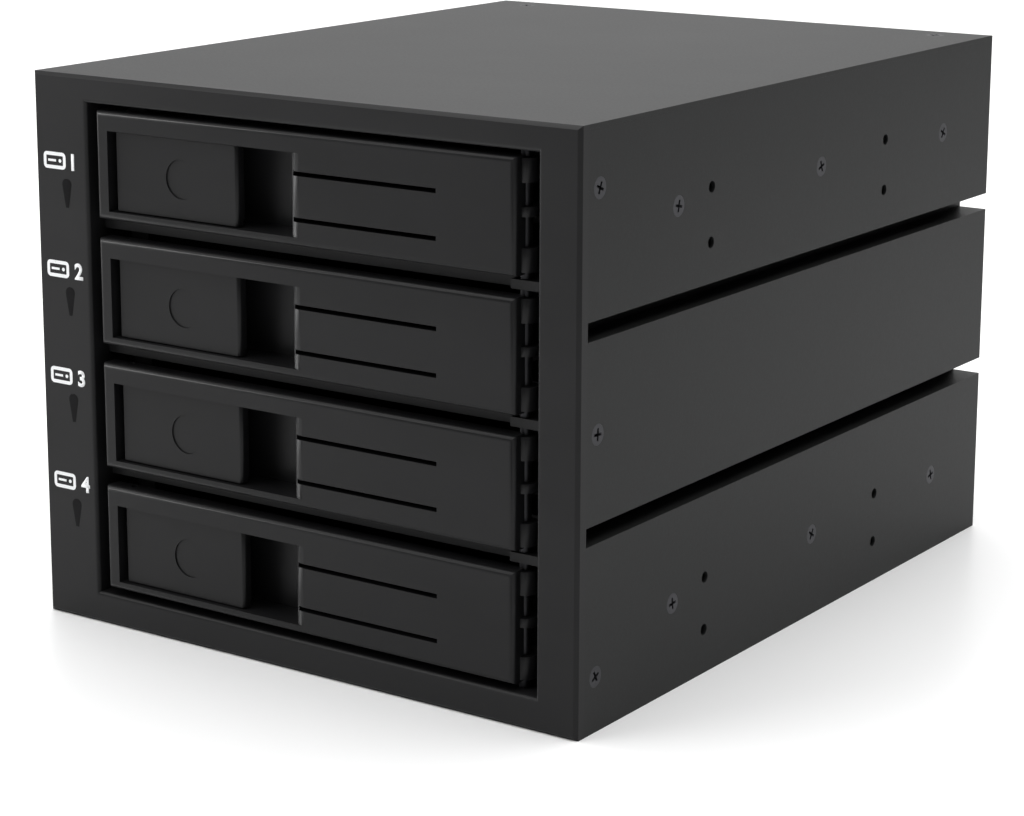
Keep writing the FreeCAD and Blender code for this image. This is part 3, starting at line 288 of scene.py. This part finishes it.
def powder_coat(name, colour):
    """Semi-gloss black powder coat: fine orange peel, a few specks, uneven gloss."""
    coat = Shader(name, IOR=1.25)
    peel = coat.noise(1500, 2.0)
    ripple = coat.noise(260, 1.0)
    cloud = coat.noise(14, 3.0)
    speck = coat.noise(2600, 1.0).above(0.66)
    base = coat.mix(cloud.smooth(0.3, 0.7), shade(colour, 0.85), shade(colour, 1.2))
    base = coat.mix(speck * 0.35, base, shade(colour, 2.2))
    rough = 0.36 + cloud * 0.08 + peel * 0.08
    normal = coat.bump(ripple, 0.10, 0.12 * MM)
    normal = coat.bump(peel, 0.22, 0.05 * MM, normal)
    return coat.feed(Base_Color=base, Roughness=rough, Normal=normal)


def moulded(name, colour, rough, grain=2200, depth=0.03):
    """Moulded plastic with a spark-eroded grain and faint flow marks."""
    shader = Shader(name, IOR=1.28)
    fine = shader.noise(grain, 2.0)
    flow = shader.noise(22, 4.0, stretch=(1.0, 1.0, 2.5))
    base = shader.mix(flow.smooth(0.3, 0.7), shade(colour, 0.88), shade(colour, 1.15))
    gloss = rough - 0.05 + flow * 0.10 + fine * 0.05
    normal = shader.bump(fine, 0.25, depth * MM)
    return shader.feed(Base_Color=base, Roughness=gloss, Normal=normal)


def plated(name, colour, rough, along=(1.0, 1.0, 1.0)):
    """Plated steel with a cloudy lustre; along is small for the axis that it was drawn along."""
    metal = Shader(name, Metallic=1.0)
    drawn = metal.noise(5000, 2.0, stretch=along)
    cloud = metal.noise(60, 3.0)
    base = metal.mix(cloud.smooth(0.25, 0.75), shade(colour, 0.8), shade(colour, 1.1))
    gloss = rough + drawn * 0.14 + cloud * 0.08
    return metal.feed(Base_Color=base, Roughness=gloss, Normal=metal.bump(drawn, 0.2, 0.02 * MM))


def circuit_board(name):
    """Green solder mask over copper tracks, with tinned dots at the vias."""
    mask, copper, tin = (0.006, 0.045, 0.018), (0.018, 0.105, 0.040), (0.42, 0.36, 0.20)
    squares_per_metre, vias_per_metre, via_radius = 160.0, 210.0, 0.10
    squeeze, track_step, track_wide = 900.0, 0.16, 0.045
    board = Shader(name, Coat_Weight=0.3)
    squares = board.add("ShaderNodeTexVoronoi", {"feature": "F1", "distance": "MANHATTAN"},
                        board.coords, Scale=squares_per_metre, output="Distance")
    track = (squares * squeeze).wrapped(0.0, track_step).below(track_wide)
    vias = board.add("ShaderNodeTexVoronoi", {"feature": "F1"}, board.coords,
                     Scale=vias_per_metre, output="Distance").below(via_radius)
    base = board.mix(track, mask, copper)
    base = board.mix(vias, base, tin)
    normal = board.bump(track, 0.4, 0.03 * MM)
    rough = 0.30 + board.noise(90) * 0.15
    return board.feed(Base_Color=base, Roughness=rough, Normal=normal)


def printed_ink(name, colour):
    """Pad-printed ink, slightly thin in places."""
    ink = Shader(name, IOR=1.45)
    thin = ink.noise(2400, 2.0)
    base = ink.mix(thin.smooth(0.25, 0.45), shade(colour, 0.86), colour)
    return ink.feed(Base_Color=base, Roughness=0.5 + thin * 0.15)


def smoked_pipe(name):
    """Dark smoked acrylic, almost black while its light is off."""
    pipe = Shader(name, IOR=1.18)
    depth = pipe.noise(700, 1.0)
    base = pipe.mix(depth.smooth(0.3, 0.7), (0.001, 0.001, 0.0012), (0.002, 0.002, 0.0026))
    return pipe.feed(Base_Color=base, Roughness=0.3 + depth * 0.1)


# ---------------------------------------------------------------- shapes

MERGE = 0.002 * MM  # corners nearer than this are one
FLAT_ANGLE = math.radians(0.5)  # faces that meet at less than this are one
SHARP_ANGLE = math.radians(40)  # edges sharper than this get rounded
GUIDE_EDGE, SOCKET_EDGE, BAR_EDGE = 0.12 * MM, 0.15 * MM, 0.1 * MM


def paint_node(name, material):
    """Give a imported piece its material."""
    piece = frame["nodes"][name]
    piece.data.materials.clear()
    piece.data.materials.append(material)
    return piece


def soften(piece, width):
    """Round the piece's sharp edges, so that they catch the light."""
    if width <= 0:
        return
    weld = piece.modifiers.new("weld", "WELD")
    weld.merge_threshold = MERGE
    flat = piece.modifiers.new("flatten", "DECIMATE")
    flat.decimate_type = "DISSOLVE"
    flat.angle_limit = FLAT_ANGLE
    bevel = piece.modifiers.new("edge", "BEVEL")
    bevel.width = width
    bevel.segments = 2
    bevel.limit_method = "ANGLE"
    bevel.angle_limit = SHARP_ANGLE
    bevel.use_clamp_overlap = True
    bevel.harden_normals = True


def solids_of(name):
    """(low, high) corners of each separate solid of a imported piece."""
    mesh = bmesh.new()
    mesh.from_mesh(frame["nodes"][name].data)
    bmesh.ops.remove_doubles(mesh, verts=mesh.verts, dist=MERGE)
    boxes, seen = [], set()
    for start in mesh.verts:
        if start.index in seen:
            continue
        seen.add(start.index)
        group, queue = [], [start]
        while queue:
            vertex = queue.pop()
            group.append(vertex.co.copy())
            for edge in vertex.link_edges:
                other = edge.other_vert(vertex)
                if other.index not in seen:
                    seen.add(other.index)
                    queue.append(other)
        boxes.append((Vector(map(min, zip(*group))), Vector(map(max, zip(*group)))))
    mesh.free()
    return boxes


def mesh_from(data, name):
    """Plain mesh data from a bmesh, which is freed."""
    mesh = bpy.data.meshes.new(name)
    data.to_mesh(mesh)
    data.free()
    return mesh


def new_piece(name, mesh, material, body):
    """Put a mesh in the scene as a piece that rides on a body and takes the given material."""
    piece = bpy.data.objects.new(name, mesh)
    bpy.context.scene.collection.objects.link(piece)
    mesh.materials.clear()
    mesh.materials.append(material)
    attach(piece, body)
    return piece


def cross_outline(arm, half):
    """The twelve corners of a cross, counter-clockwise."""
    quarter = [(half, half), (half, arm), (-half, arm)]
    corners = []
    for turn in range(4):
        for x, y in quarter:
            for _ in range(turn):
                x, y = -y, x
            corners.append((x, y))
    return corners


def screw_mesh(name, head, rise, shank, long):
    """A screw that points down Z: head radius, head height, shank radius and length.

    A height of 0 is a countersunk head that ends at z = 0; otherwise a pan head stands on z = 0.
    """
    mesh = bmesh.new()
    sides, bevel = 32, 0.06 * MM
    arm, half, deep, narrowing = head * 0.58, head * 0.13, head * 0.38, 0.72

    def ring(radius, z):
        return [mesh.verts.new((radius * math.cos(math.tau * n / sides),
                                radius * math.sin(math.tau * n / sides), z)) for n in range(sides)]

    def bridge(lower, upper):
        for n in range(sides):
            mesh.faces.new((lower[n], lower[(n + 1) % sides], upper[(n + 1) % sides], upper[n]))

    if rise > 0:  # an upright rim, rounded over to a smaller flat top
        levels = [(shank, -long), (shank, 0), (head, 0), (head, rise * 0.45),
                  (head * 0.94, rise * 0.78), (head * 0.75, rise)]
    else:
        levels = [(shank, -long), (shank, -(head - shank)), (head, -bevel), (head - bevel, 0)]
    rings = [ring(radius, z) for radius, z in levels]
    for lower, upper in zip(rings, rings[1:]):
        bridge(lower, upper)
    mesh.faces.new(rings[0][::-1])
    outline = cross_outline(arm, half)
    cross = [mesh.verts.new((x, y, rise)) for x, y in outline]
    floor = [mesh.verts.new((x * narrowing, y * narrowing, rise - deep)) for x, y in outline]
    after = [*range(1, len(outline)), 0]
    edges = [mesh.edges.new((cross[n], cross[m])) for n, m in enumerate(after)]
    mesh.edges.ensure_lookup_table()
    last = rings[-1]
    edges += [mesh.edges.get((last[n], last[(n + 1) % sides])) for n in range(sides)]
    bmesh.ops.triangle_fill(mesh, edges=edges, use_beauty=True, use_dissolve=False)
    for n, m in enumerate(after):
        mesh.faces.new((cross[m], cross[n], floor[n], floor[m]))
    mesh.faces.new(floor)
    bmesh.ops.recalc_face_normals(mesh, faces=mesh.faces)
    return mesh_from(mesh, name)


def scatter_tree():
    """Geometry Nodes that put one screw on every point, faced along the point's own direction."""
    tree = bpy.data.node_groups.new("screws_on_points", "GeometryNodeTree")
    face = tree.interface
    face.new_socket("Geometry", in_out="INPUT", socket_type="NodeSocketGeometry")
    face.new_socket("Screw", in_out="INPUT", socket_type="NodeSocketObject")
    face.new_socket("Seed", in_out="INPUT", socket_type="NodeSocketInt")
    face.new_socket("Finish", in_out="INPUT", socket_type="NodeSocketMaterial")
    face.new_socket("Geometry", in_out="OUTPUT", socket_type="NodeSocketGeometry")
    new, link = tree.nodes.new, tree.links.new
    start, end = new("NodeGroupInput"), new("NodeGroupOutput")
    item = new("GeometryNodeObjectInfo")
    link(start.outputs["Screw"], item.inputs["Object"])
    facing = new("GeometryNodeInputNamedAttribute")
    facing.data_type = "FLOAT_VECTOR"
    facing.inputs["Name"].default_value = "facing"
    align = new("FunctionNodeAlignRotationToVector")
    align.axis = "Z"
    link(facing.outputs["Attribute"], align.inputs["Vector"])
    roll = new("FunctionNodeRandomValue")
    roll.data_type = "FLOAT_VECTOR"
    roll.inputs[0].default_value = (0, 0, 0)
    roll.inputs[1].default_value = (0, 0, math.pi)
    link(start.outputs["Seed"], roll.inputs["Seed"])
    turn = new("FunctionNodeRotateRotation")
    turn.rotation_space = "LOCAL"
    link(align.outputs["Rotation"], turn.inputs["Rotation"])
    link(roll.outputs[0], turn.inputs["Rotate By"])
    place = new("GeometryNodeInstanceOnPoints")
    link(start.outputs["Geometry"], place.inputs["Points"])
    link(item.outputs["Geometry"], place.inputs["Instance"])
    link(turn.outputs["Rotation"], place.inputs["Rotation"])
    real = new("GeometryNodeRealizeInstances")
    link(place.outputs["Instances"], real.inputs["Geometry"])
    finish = new("GeometryNodeSetMaterial")
    link(real.outputs["Geometry"], finish.inputs["Geometry"])
    link(start.outputs["Finish"], finish.inputs["Material"])
    link(finish.outputs["Geometry"], end.inputs["Geometry"])
    return tree


def bake(host, name):
    """The evaluated mesh of an object, as plain data; the object itself is removed."""
    bpy.context.view_layer.update()
    graph = bpy.context.evaluated_depsgraph_get()
    mesh = bpy.data.meshes.new_from_object(host.evaluated_get(graph), depsgraph=graph)
    mesh.name = name
    bpy.data.objects.remove(host)
    return mesh


def scatter_screws(node, screw_data, material, facings, seed):
    """Replace a packed group of screws by detailed ones, with a head centre and direction for each."""
    points = bpy.data.meshes.new(f"{node}_points")
    points.from_pydata([tuple(place) for place, _ in facings], [], [])
    attribute = points.attributes.new("facing", "FLOAT_VECTOR", "POINT")
    for number, (_, direction) in enumerate(facings):
        attribute.data[number].vector = direction
    host = bpy.data.objects.new(f"{node}_host", points)
    item = bpy.data.objects.new(f"{node}_item", screw_data)
    for thing in (host, item):
        bpy.context.scene.collection.objects.link(thing)
    modifier = host.modifiers.new("screws", "NODES")
    modifier.node_group = scatter_tree()
    values = {"Screw": item, "Seed": seed, "Finish": material}
    for socket in modifier.node_group.interface.items_tree:
        if socket.in_out == "INPUT" and socket.name in values:
            modifier[socket.identifier] = values[socket.name]
    mesh = bake(host, f"{node}_detailed")
    bpy.data.objects.remove(item)
    for polygon in mesh.polygons:
        polygon.use_smooth = False
    piece = new_piece(f"{node}_detailed", mesh, material, frame["nodes"][node]["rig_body"])
    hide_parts(node)


# ---------------------------------------------------------------- printed numbers

BOLD = 0.035  # how far a digit's outline is widened, as a share of its size
DIGIT_MERGE = 1e-5  # corners of a digit nearer than this share of its size are one
MARK_WIDTH = 1.75  # width of a drive mark, as a share of its height
MARK_GAP = 0.45  # gap from a mark to its digit, as a share of the height


def text_mesh(words, height, thickness):
    """Text as a closed mesh that stands up in the XZ plane, faces -Y and starts at x = 0, z = 0."""
    curve = bpy.data.curves.new("words", "FONT")
    curve.body = words
    curve.size = 1
    curve.offset = BOLD
    curve.resolution_u = 6
    host = bpy.data.objects.new("words", curve)
    bpy.context.scene.collection.objects.link(host)
    mesh = bake(host, "words")
    bpy.data.curves.remove(curve)
    low = Vector(map(min, zip(*(vertex.co for vertex in mesh.vertices))))
    high = Vector(map(max, zip(*(vertex.co for vertex in mesh.vertices))))
    scale = height / (high.y - low.y)
    data = bmesh.new()
    data.from_mesh(mesh)
    bpy.data.meshes.remove(mesh)
    bmesh.ops.remove_doubles(data, verts=data.verts, dist=DIGIT_MERGE)
    bmesh.ops.translate(data, verts=data.verts, vec=-low)
    bmesh.ops.scale(data, verts=data.verts, vec=(scale, scale, scale))
    bmesh.ops.rotate(data, verts=data.verts, matrix=Matrix.Rotation(math.radians(90), 3, "X"))
    extrude(data, data.faces[:], thickness)
    return data


def extrude(data, faces, thickness):
    """Turn flat faces that face -Y into a closed plate whose back is at y = 0."""
    done = bmesh.ops.extrude_face_region(data, geom=faces)
    moved = [item for item in done["geom"] if isinstance(item, bmesh.types.BMVert)]
    bmesh.ops.translate(data, verts=moved, vec=(0, -thickness, 0))
    bmesh.ops.recalc_face_normals(data, faces=data.faces)


def rounded_corners(wide, tall, radius, steps=5):
    """The (x, z) corners of a rounded rectangle round its middle."""
    corners = []
    for quarter, (side, rise) in enumerate(((1, 1), (-1, 1), (-1, -1), (1, -1))):
        for step in range(steps + 1):
            angle = math.radians(90 * (quarter + step / steps))
            corners.append((side * (wide / 2 - radius) + radius * math.cos(angle),
                            rise * (tall / 2 - radius) + radius * math.sin(angle)))
    return corners


def drive_mark(tall, thickness):
    """A small drive seen from the front: a rounded frame with a bar and a dot, its back at y = 0."""
    wide, line, corner_radius, dot_radius = tall * MARK_WIDTH, tall * 0.21, tall * 0.26, tall * 0.11
    dot_sides = 16
    data = bmesh.new()
    outer, inner = (
        [data.verts.new((x + wide / 2, 0, z + tall / 2)) for x, z in
         rounded_corners(wide - 2 * inset, tall - 2 * inset, corner_radius - inset)]
        for inset in (0, line))
    for n, corner in enumerate(outer):
        m = (n + 1) % len(outer)
        data.faces.new((corner, outer[m], inner[m], inner[n]))
    turns = [math.tau * n / dot_sides for n in range(dot_sides)]
    dot = [data.verts.new((wide * 0.74 + dot_radius * math.cos(turn), 0,
                           tall / 2 + dot_radius * math.sin(turn))) for turn in turns]
    data.faces.new(dot)
    bar = [data.verts.new((wide * x, 0, tall * z)) for x, z in
           ((0.2, 0.43), (0.56, 0.43), (0.56, 0.57), (0.2, 0.57))]
    data.faces.new(bar)
    extrude(data, data.faces[:], thickness)
    return data


def window_corners(radius, tall, steps=10):
    """A smoked window round a light: a round head that narrows downwards, as (x, z) from the light."""
    head, tip = radius * 1.15, radius * 0.35
    arc = [math.pi * n / steps for n in range(steps + 1)]
    round_head = [(head * math.cos(turn), head * math.sin(turn)) for turn in arc]
    return round_head + [(-tip, -tall), (tip, -tall)]


def lights_from_top():
    """The number, middle and radius of each light pipe, 1 at the top."""
    boxes = sorted(solids_of("light_pipes"), key=lambda box: -box[0].z)
    return [(number, (low + high) / 2, (high.x - low.x) / 2)
            for number, (low, high) in enumerate(boxes, 1)]


# ---------------------------------------------------------------- operators

class CAGE_OT_shell(bpy.types.Operator):
    """Powder coat the folded shell, its top cover and the rear panel"""
    bl_idname = "cage.shell"
    bl_label = "Sheet metal"

    def execute(self, context):
        look = context.scene.cage_finish
        coat = powder_coat("powder_coat", look.paint)
        for name in ("chassis_shell", "top_cover", "rear_panel"):
            soften(paint_node(name, coat), look.sheet_edge)
        return {"FINISHED"}


class CAGE_OT_bezel(bpy.types.Operator):
    """Mould the front bezel"""
    bl_idname = "cage.bezel"
    bl_label = "Front bezel"

    def execute(self, context):
        look = context.scene.cage_finish
        soften(paint_node("front_bezel", moulded("bezel_plastic", look.bezel, 0.42)), look.edge)
        return {"FINISHED"}


class CAGE_OT_doors(bpy.types.Operator):
    """Mould the four doors and their latch levers"""
    bl_idname = "cage.doors"
    bl_label = "Doors and levers"

    def execute(self, context):
        look = context.scene.cage_finish
        door = moulded("door_plastic", look.door, 0.34)
        lever = moulded("lever_plastic", shade(look.door, 0.9), 0.33, 1800, 0.02)
        for bay in BAYS:
            soften(paint_node(f"door_{bay}", door), look.edge)
            soften(paint_node(f"latch_lever_{bay}", lever), look.edge)
        return {"FINISHED"}


class CAGE_OT_numbers(bpy.types.Operator):
    """Print a drive mark and a plain number over each light, 1 at the top"""
    bl_idname = "cage.numbers"
    bl_label = "Bay numbers"

    def execute(self, context):
        look = context.scene.cage_finish
        ink = printed_ink("white_ink", look.ink)
        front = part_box("front_bezel")[0].y
        for number, middle, _ in lights_from_top():
            data = drive_mark(look.number_height, look.ink_thickness)
            digit = text_mesh(str(number), look.number_height, look.ink_thickness)
            bmesh.ops.translate(digit, verts=digit.verts,
                                vec=(look.number_height * (MARK_WIDTH + MARK_GAP), 0, 0))
            extra = mesh_from(digit, "digit")
            data.from_mesh(extra)
            bpy.data.meshes.remove(extra)
            corner = Vector((CAD_LOW.x + look.number_margin, front,
                             middle.z + look.number_rise - look.number_height / 2))
            bmesh.ops.translate(data, verts=data.verts, vec=corner)
            name = f"bay_number_{number}"
            new_piece(name, mesh_from(data, name), ink, CAGE)
        return {"FINISHED"}


class CAGE_OT_lights(bpy.types.Operator):
    """Finish the light pipes, the lights and their board"""
    bl_idname = "cage.lights"
    bl_label = "Lights"

    def execute(self, context):
        look = context.scene.cage_finish
        smoked = smoked_pipe("smoked_acrylic")
        paint_node("light_pipes", smoked)
        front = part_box("front_bezel")[0].y
        for number, middle, radius in lights_from_top():
            data = bmesh.new()
            data.faces.new([data.verts.new((middle.x + x, front, middle.z + z))
                            for x, z in window_corners(radius, look.window_height)])
            extrude(data, data.faces[:], look.ink_thickness)
            name = f"light_window_{number}"
            new_piece(name, mesh_from(data, name), smoked, CAGE)
        lamp = Shader("light_resin", IOR=1.5, Coat_Weight=0.5)
        cloud = lamp.noise(400, 1.0)
        tint = lamp.mix(cloud, (0.35, 0.5, 0.75), (0.5, 0.65, 0.85))
        paint_node("indicator_lights", lamp.feed(Base_Color=tint, Roughness=0.15 + cloud * 0.1))
        paint_node("led_board", circuit_board("light_board"))
        return {"FINISHED"}


class CAGE_OT_screws(bpy.types.Operator):
    """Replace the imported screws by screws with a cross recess"""
    bl_idname = "cage.screws"
    bl_label = "Screws"

    KINDS = (  # node, slot, axis, then in mm: height of a standing head (0: countersunk), shank radius
        ("guide_screws", "black_screws", 0, 0, 1.3), ("bezel_screws", "black_screws", 0, 0, 1.3),
        ("cover_screws", "black_screws", 2, 0, 1.3), ("board_screws", "zinc_steel", 1, 1.3, 1.0),
        ("led_board_screws", "zinc_steel", 1, 0.9, 0.8), ("fan_screws", "black_screws", 1, 2.0, 2.0))

    def execute(self, context):
        finishes = {"black_screws": plated("black_zinc", (0.06, 0.06, 0.065), 0.36),
                    "zinc_steel": plated("bright_zinc", (0.60, 0.60, 0.57), 0.30)}
        middle = (CAD_LOW + CAD_HIGH) / 2
        for seed, (node, slot, axis, rise, shank) in enumerate(self.KINDS):
            boxes, facings = solids_of(node), []
            for low, high in boxes:
                place, direction = (low + high) / 2, Vector((0, 0, 0))
                # the fan's and boards' screws face the rear, the others the nearer outside
                direction[axis] = 1 if axis == 1 or place[axis] > middle[axis] else -1
                place[axis] = (high if direction[axis] > 0 else low)[axis] - direction[axis] * rise * MM
                facings.append((place, direction))
            size = boxes[-1][1] - boxes[-1][0]
            head, long = size[(axis + 1) % 3] / 2, size[axis] - rise * MM
            data = screw_mesh(f"{node}_form", head, rise * MM, shank * MM, long)
            scatter_screws(node, data, finishes[slot], facings, seed)
        return {"FINISHED"}


class CAGE_OT_inside(bpy.types.Operator):
    """Finish the drive guides, boards, sockets and ports"""
    bl_idname = "cage.inside"
    bl_label = "Guides and electronics"

    def execute(self, context):
        guide = moulded("guide_plastic", (0.009, 0.009, 0.0095), 0.48)
        for name in GUIDES:
            soften(paint_node(name, guide), GUIDE_EDGE)
        paint_node("guide_spacers", plated("spacer_steel", (0.60, 0.60, 0.58), 0.3, (0.05, 1.0, 1.0)))
        paint_node("backplane_board", circuit_board("backplane_mask"))
        socket = moulded("socket_plastic", (0.012, 0.012, 0.012), 0.45)
        port = moulded("port_plastic", (0.02, 0.02, 0.021), 0.4)
        power = moulded("nylon", (0.68, 0.66, 0.60), 0.45)
        for name, material in (
                ("drive_sockets", socket), ("data_ports", port), ("power_sockets", power)):
            soften(paint_node(name, material), SOCKET_EDGE)
        return {"FINISHED"}


class CAGE_OT_fan(bpy.types.Operator):
    """Finish the fan, its rotor and its guard"""
    bl_idname = "cage.fan"
    bl_label = "Fan"

    def execute(self, context):
        plastic = moulded("fan_frame_plastic", (0.012, 0.012, 0.012), 0.42)
        soften(paint_node("fan_frame", plastic), context.scene.cage_finish.edge)
        paint_node("fan_rotor", moulded("fan_rotor_plastic", (0.016, 0.016, 0.016), 0.35))
        paint_node("fan_guard", plated("black_wire", (0.05, 0.05, 0.05), 0.3))
        return {"FINISHED"}


class CAGE_OT_hardware(bpy.types.Operator):
    """Finish the hinge rod, latch pins, springs and ejector bars"""
    bl_idname = "cage.hardware"
    bl_label = "Hinge and ejectors"

    def execute(self, context):
        rod = plated("drawn_rod", (0.55, 0.55, 0.54), 0.25, (1.0, 1.0, 0.03))
        blued = plated("blued_rod", (0.03, 0.03, 0.032), 0.35, (1.0, 1.0, 0.03))
        strip = plated("spring_strip", (0.50, 0.50, 0.49), 0.22, (0.05, 1.0, 1.0))
        bar = plated("ejector_steel", (0.58, 0.58, 0.56), 0.3, (1.0, 0.04, 1.0))
        paint_node("hinge_rod", blued)
        for bay in BAYS:
            paint_node(f"latch_pin_{bay}", rod)
            paint_node(f"latch_spring_{bay}", strip)
            soften(paint_node(f"ejector_{bay}", bar), BAR_EDGE)
        return {"FINISHED"}


class CAGE_OT_stage(bpy.types.Operator):
    """Build the floor, the lights and the camera"""
    bl_idname = "cage.stage"
    bl_label = "Stage"

    def execute(self, context):
        setup = context.scene.cage_stage
        floor = bpy.data.meshes.new("floor")
        half = setup.floor_side / 2
        floor.from_pydata([(x * half, y * half, 0) for x, y in ((-1, -1), (1, -1), (1, 1), (-1, 1))],
                          [], [(0, 1, 2, 3)])
        piece = bpy.data.objects.new("floor", floor)
        context.scene.collection.objects.link(piece)
        paper = Shader("floor_paper", IOR=1.4)
        grain = paper.noise(8, 2.0)
        floor.materials.append(paper.feed(
            Base_Color=paper.mix(grain, shade(setup.floor, 0.985), setup.floor),
            Roughness=0.30 + grain * 0.04))
        world = bpy.data.worlds.new("studio")
        world.use_nodes = True
        world.node_tree.nodes["Background"].inputs["Color"].default_value = (1, 1, 1, 1)
        world.node_tree.nodes["Background"].inputs["Strength"].default_value = setup.world_light
        context.scene.world = world
        context.scene.view_settings.view_transform = "Standard"
        for name, place, aim, size, power in (
                ("top_softbox", (0, 0.3, 2.2), (0, 0, 0), (4.0, 4.0), setup.top_light),
                ("back_softbox", (-1.5, 3.3, 0.9), (0, 0, 0.1), (4.5, 1.8), setup.back_light),
                ("left_softbox", (-1.6, -0.45, 0.35), (0, 0, 0.06), (0.6, 0.9), setup.left_light),
                ("front_softbox", (-1.2, -1.5, 1.15), (0, 0, 0.06), (1.2, 0.8), setup.front_light)):
            lamp = bpy.data.lights.new(name, "AREA")
            lamp.shape = "RECTANGLE"
            lamp.size, lamp.size_y = size
            lamp.energy = power
            light = bpy.data.objects.new(name, lamp)
            context.scene.collection.objects.link(light)
            light.location = place
            light.rotation_euler = (Vector(place) - Vector(aim)).to_track_quat("Z", "Y").to_euler()
        lens = bpy.data.cameras.new("camera")
        lens.sensor_width = 36
        lens.lens = setup.lens
        lens.shift_x, lens.shift_y = setup.shift
        lens.clip_start, lens.clip_end = 0.02, 20
        camera = bpy.data.objects.new("camera", lens)
        context.scene.collection.objects.link(camera)
        camera.location = Vector(setup.camera_place) + Vector((0, CAD_LOW.y, 0))
        camera.rotation_euler = (math.radians(90) - setup.camera_pitch, 0, setup.camera_yaw)
        context.scene.camera = camera
        return {"FINISHED"}


class CAGE_PT_panel(bpy.types.Panel):
    """Lists the steps that dress the cage"""
    bl_idname = "CAGE_PT_panel"
    bl_label = "Drive cage"
    bl_space_type = "VIEW_3D"
    bl_region_type = "UI"
    bl_category = "Drive cage"

    def draw(self, context):
        for group in (context.scene.cage_finish, context.scene.cage_stage):
            for name in group.bl_rna.properties.keys():
                if name not in ("rna_type", "name"):
                    self.layout.prop(group, name)
        for step in STEPS:
            self.layout.operator(step.bl_idname)


STEPS = (CAGE_OT_shell, CAGE_OT_bezel, CAGE_OT_doors, CAGE_OT_numbers, CAGE_OT_lights, CAGE_OT_screws,
         CAGE_OT_inside, CAGE_OT_fan, CAGE_OT_hardware, CAGE_OT_stage)
CLASSES = (CageFinish, StageSetup, *STEPS, CAGE_PT_panel)


def register():
    for item in CLASSES:
        bpy.utils.register_class(item)
    bpy.types.Scene.cage_finish = bpy.props.PointerProperty(type=CageFinish)
    bpy.types.Scene.cage_stage = bpy.props.PointerProperty(type=StageSetup)


def unregister():
    del bpy.types.Scene.cage_stage
    del bpy.types.Scene.cage_finish
    for item in reversed(CLASSES):
        bpy.utils.unregister_class(item)


def main():
    """Dress every piece and build the stage."""
    register()
    for step in STEPS:
        group, name = step.bl_idname.split(".")
        getattr(getattr(bpy.ops, group), name)()


if __name__ == "__main__":
    main()
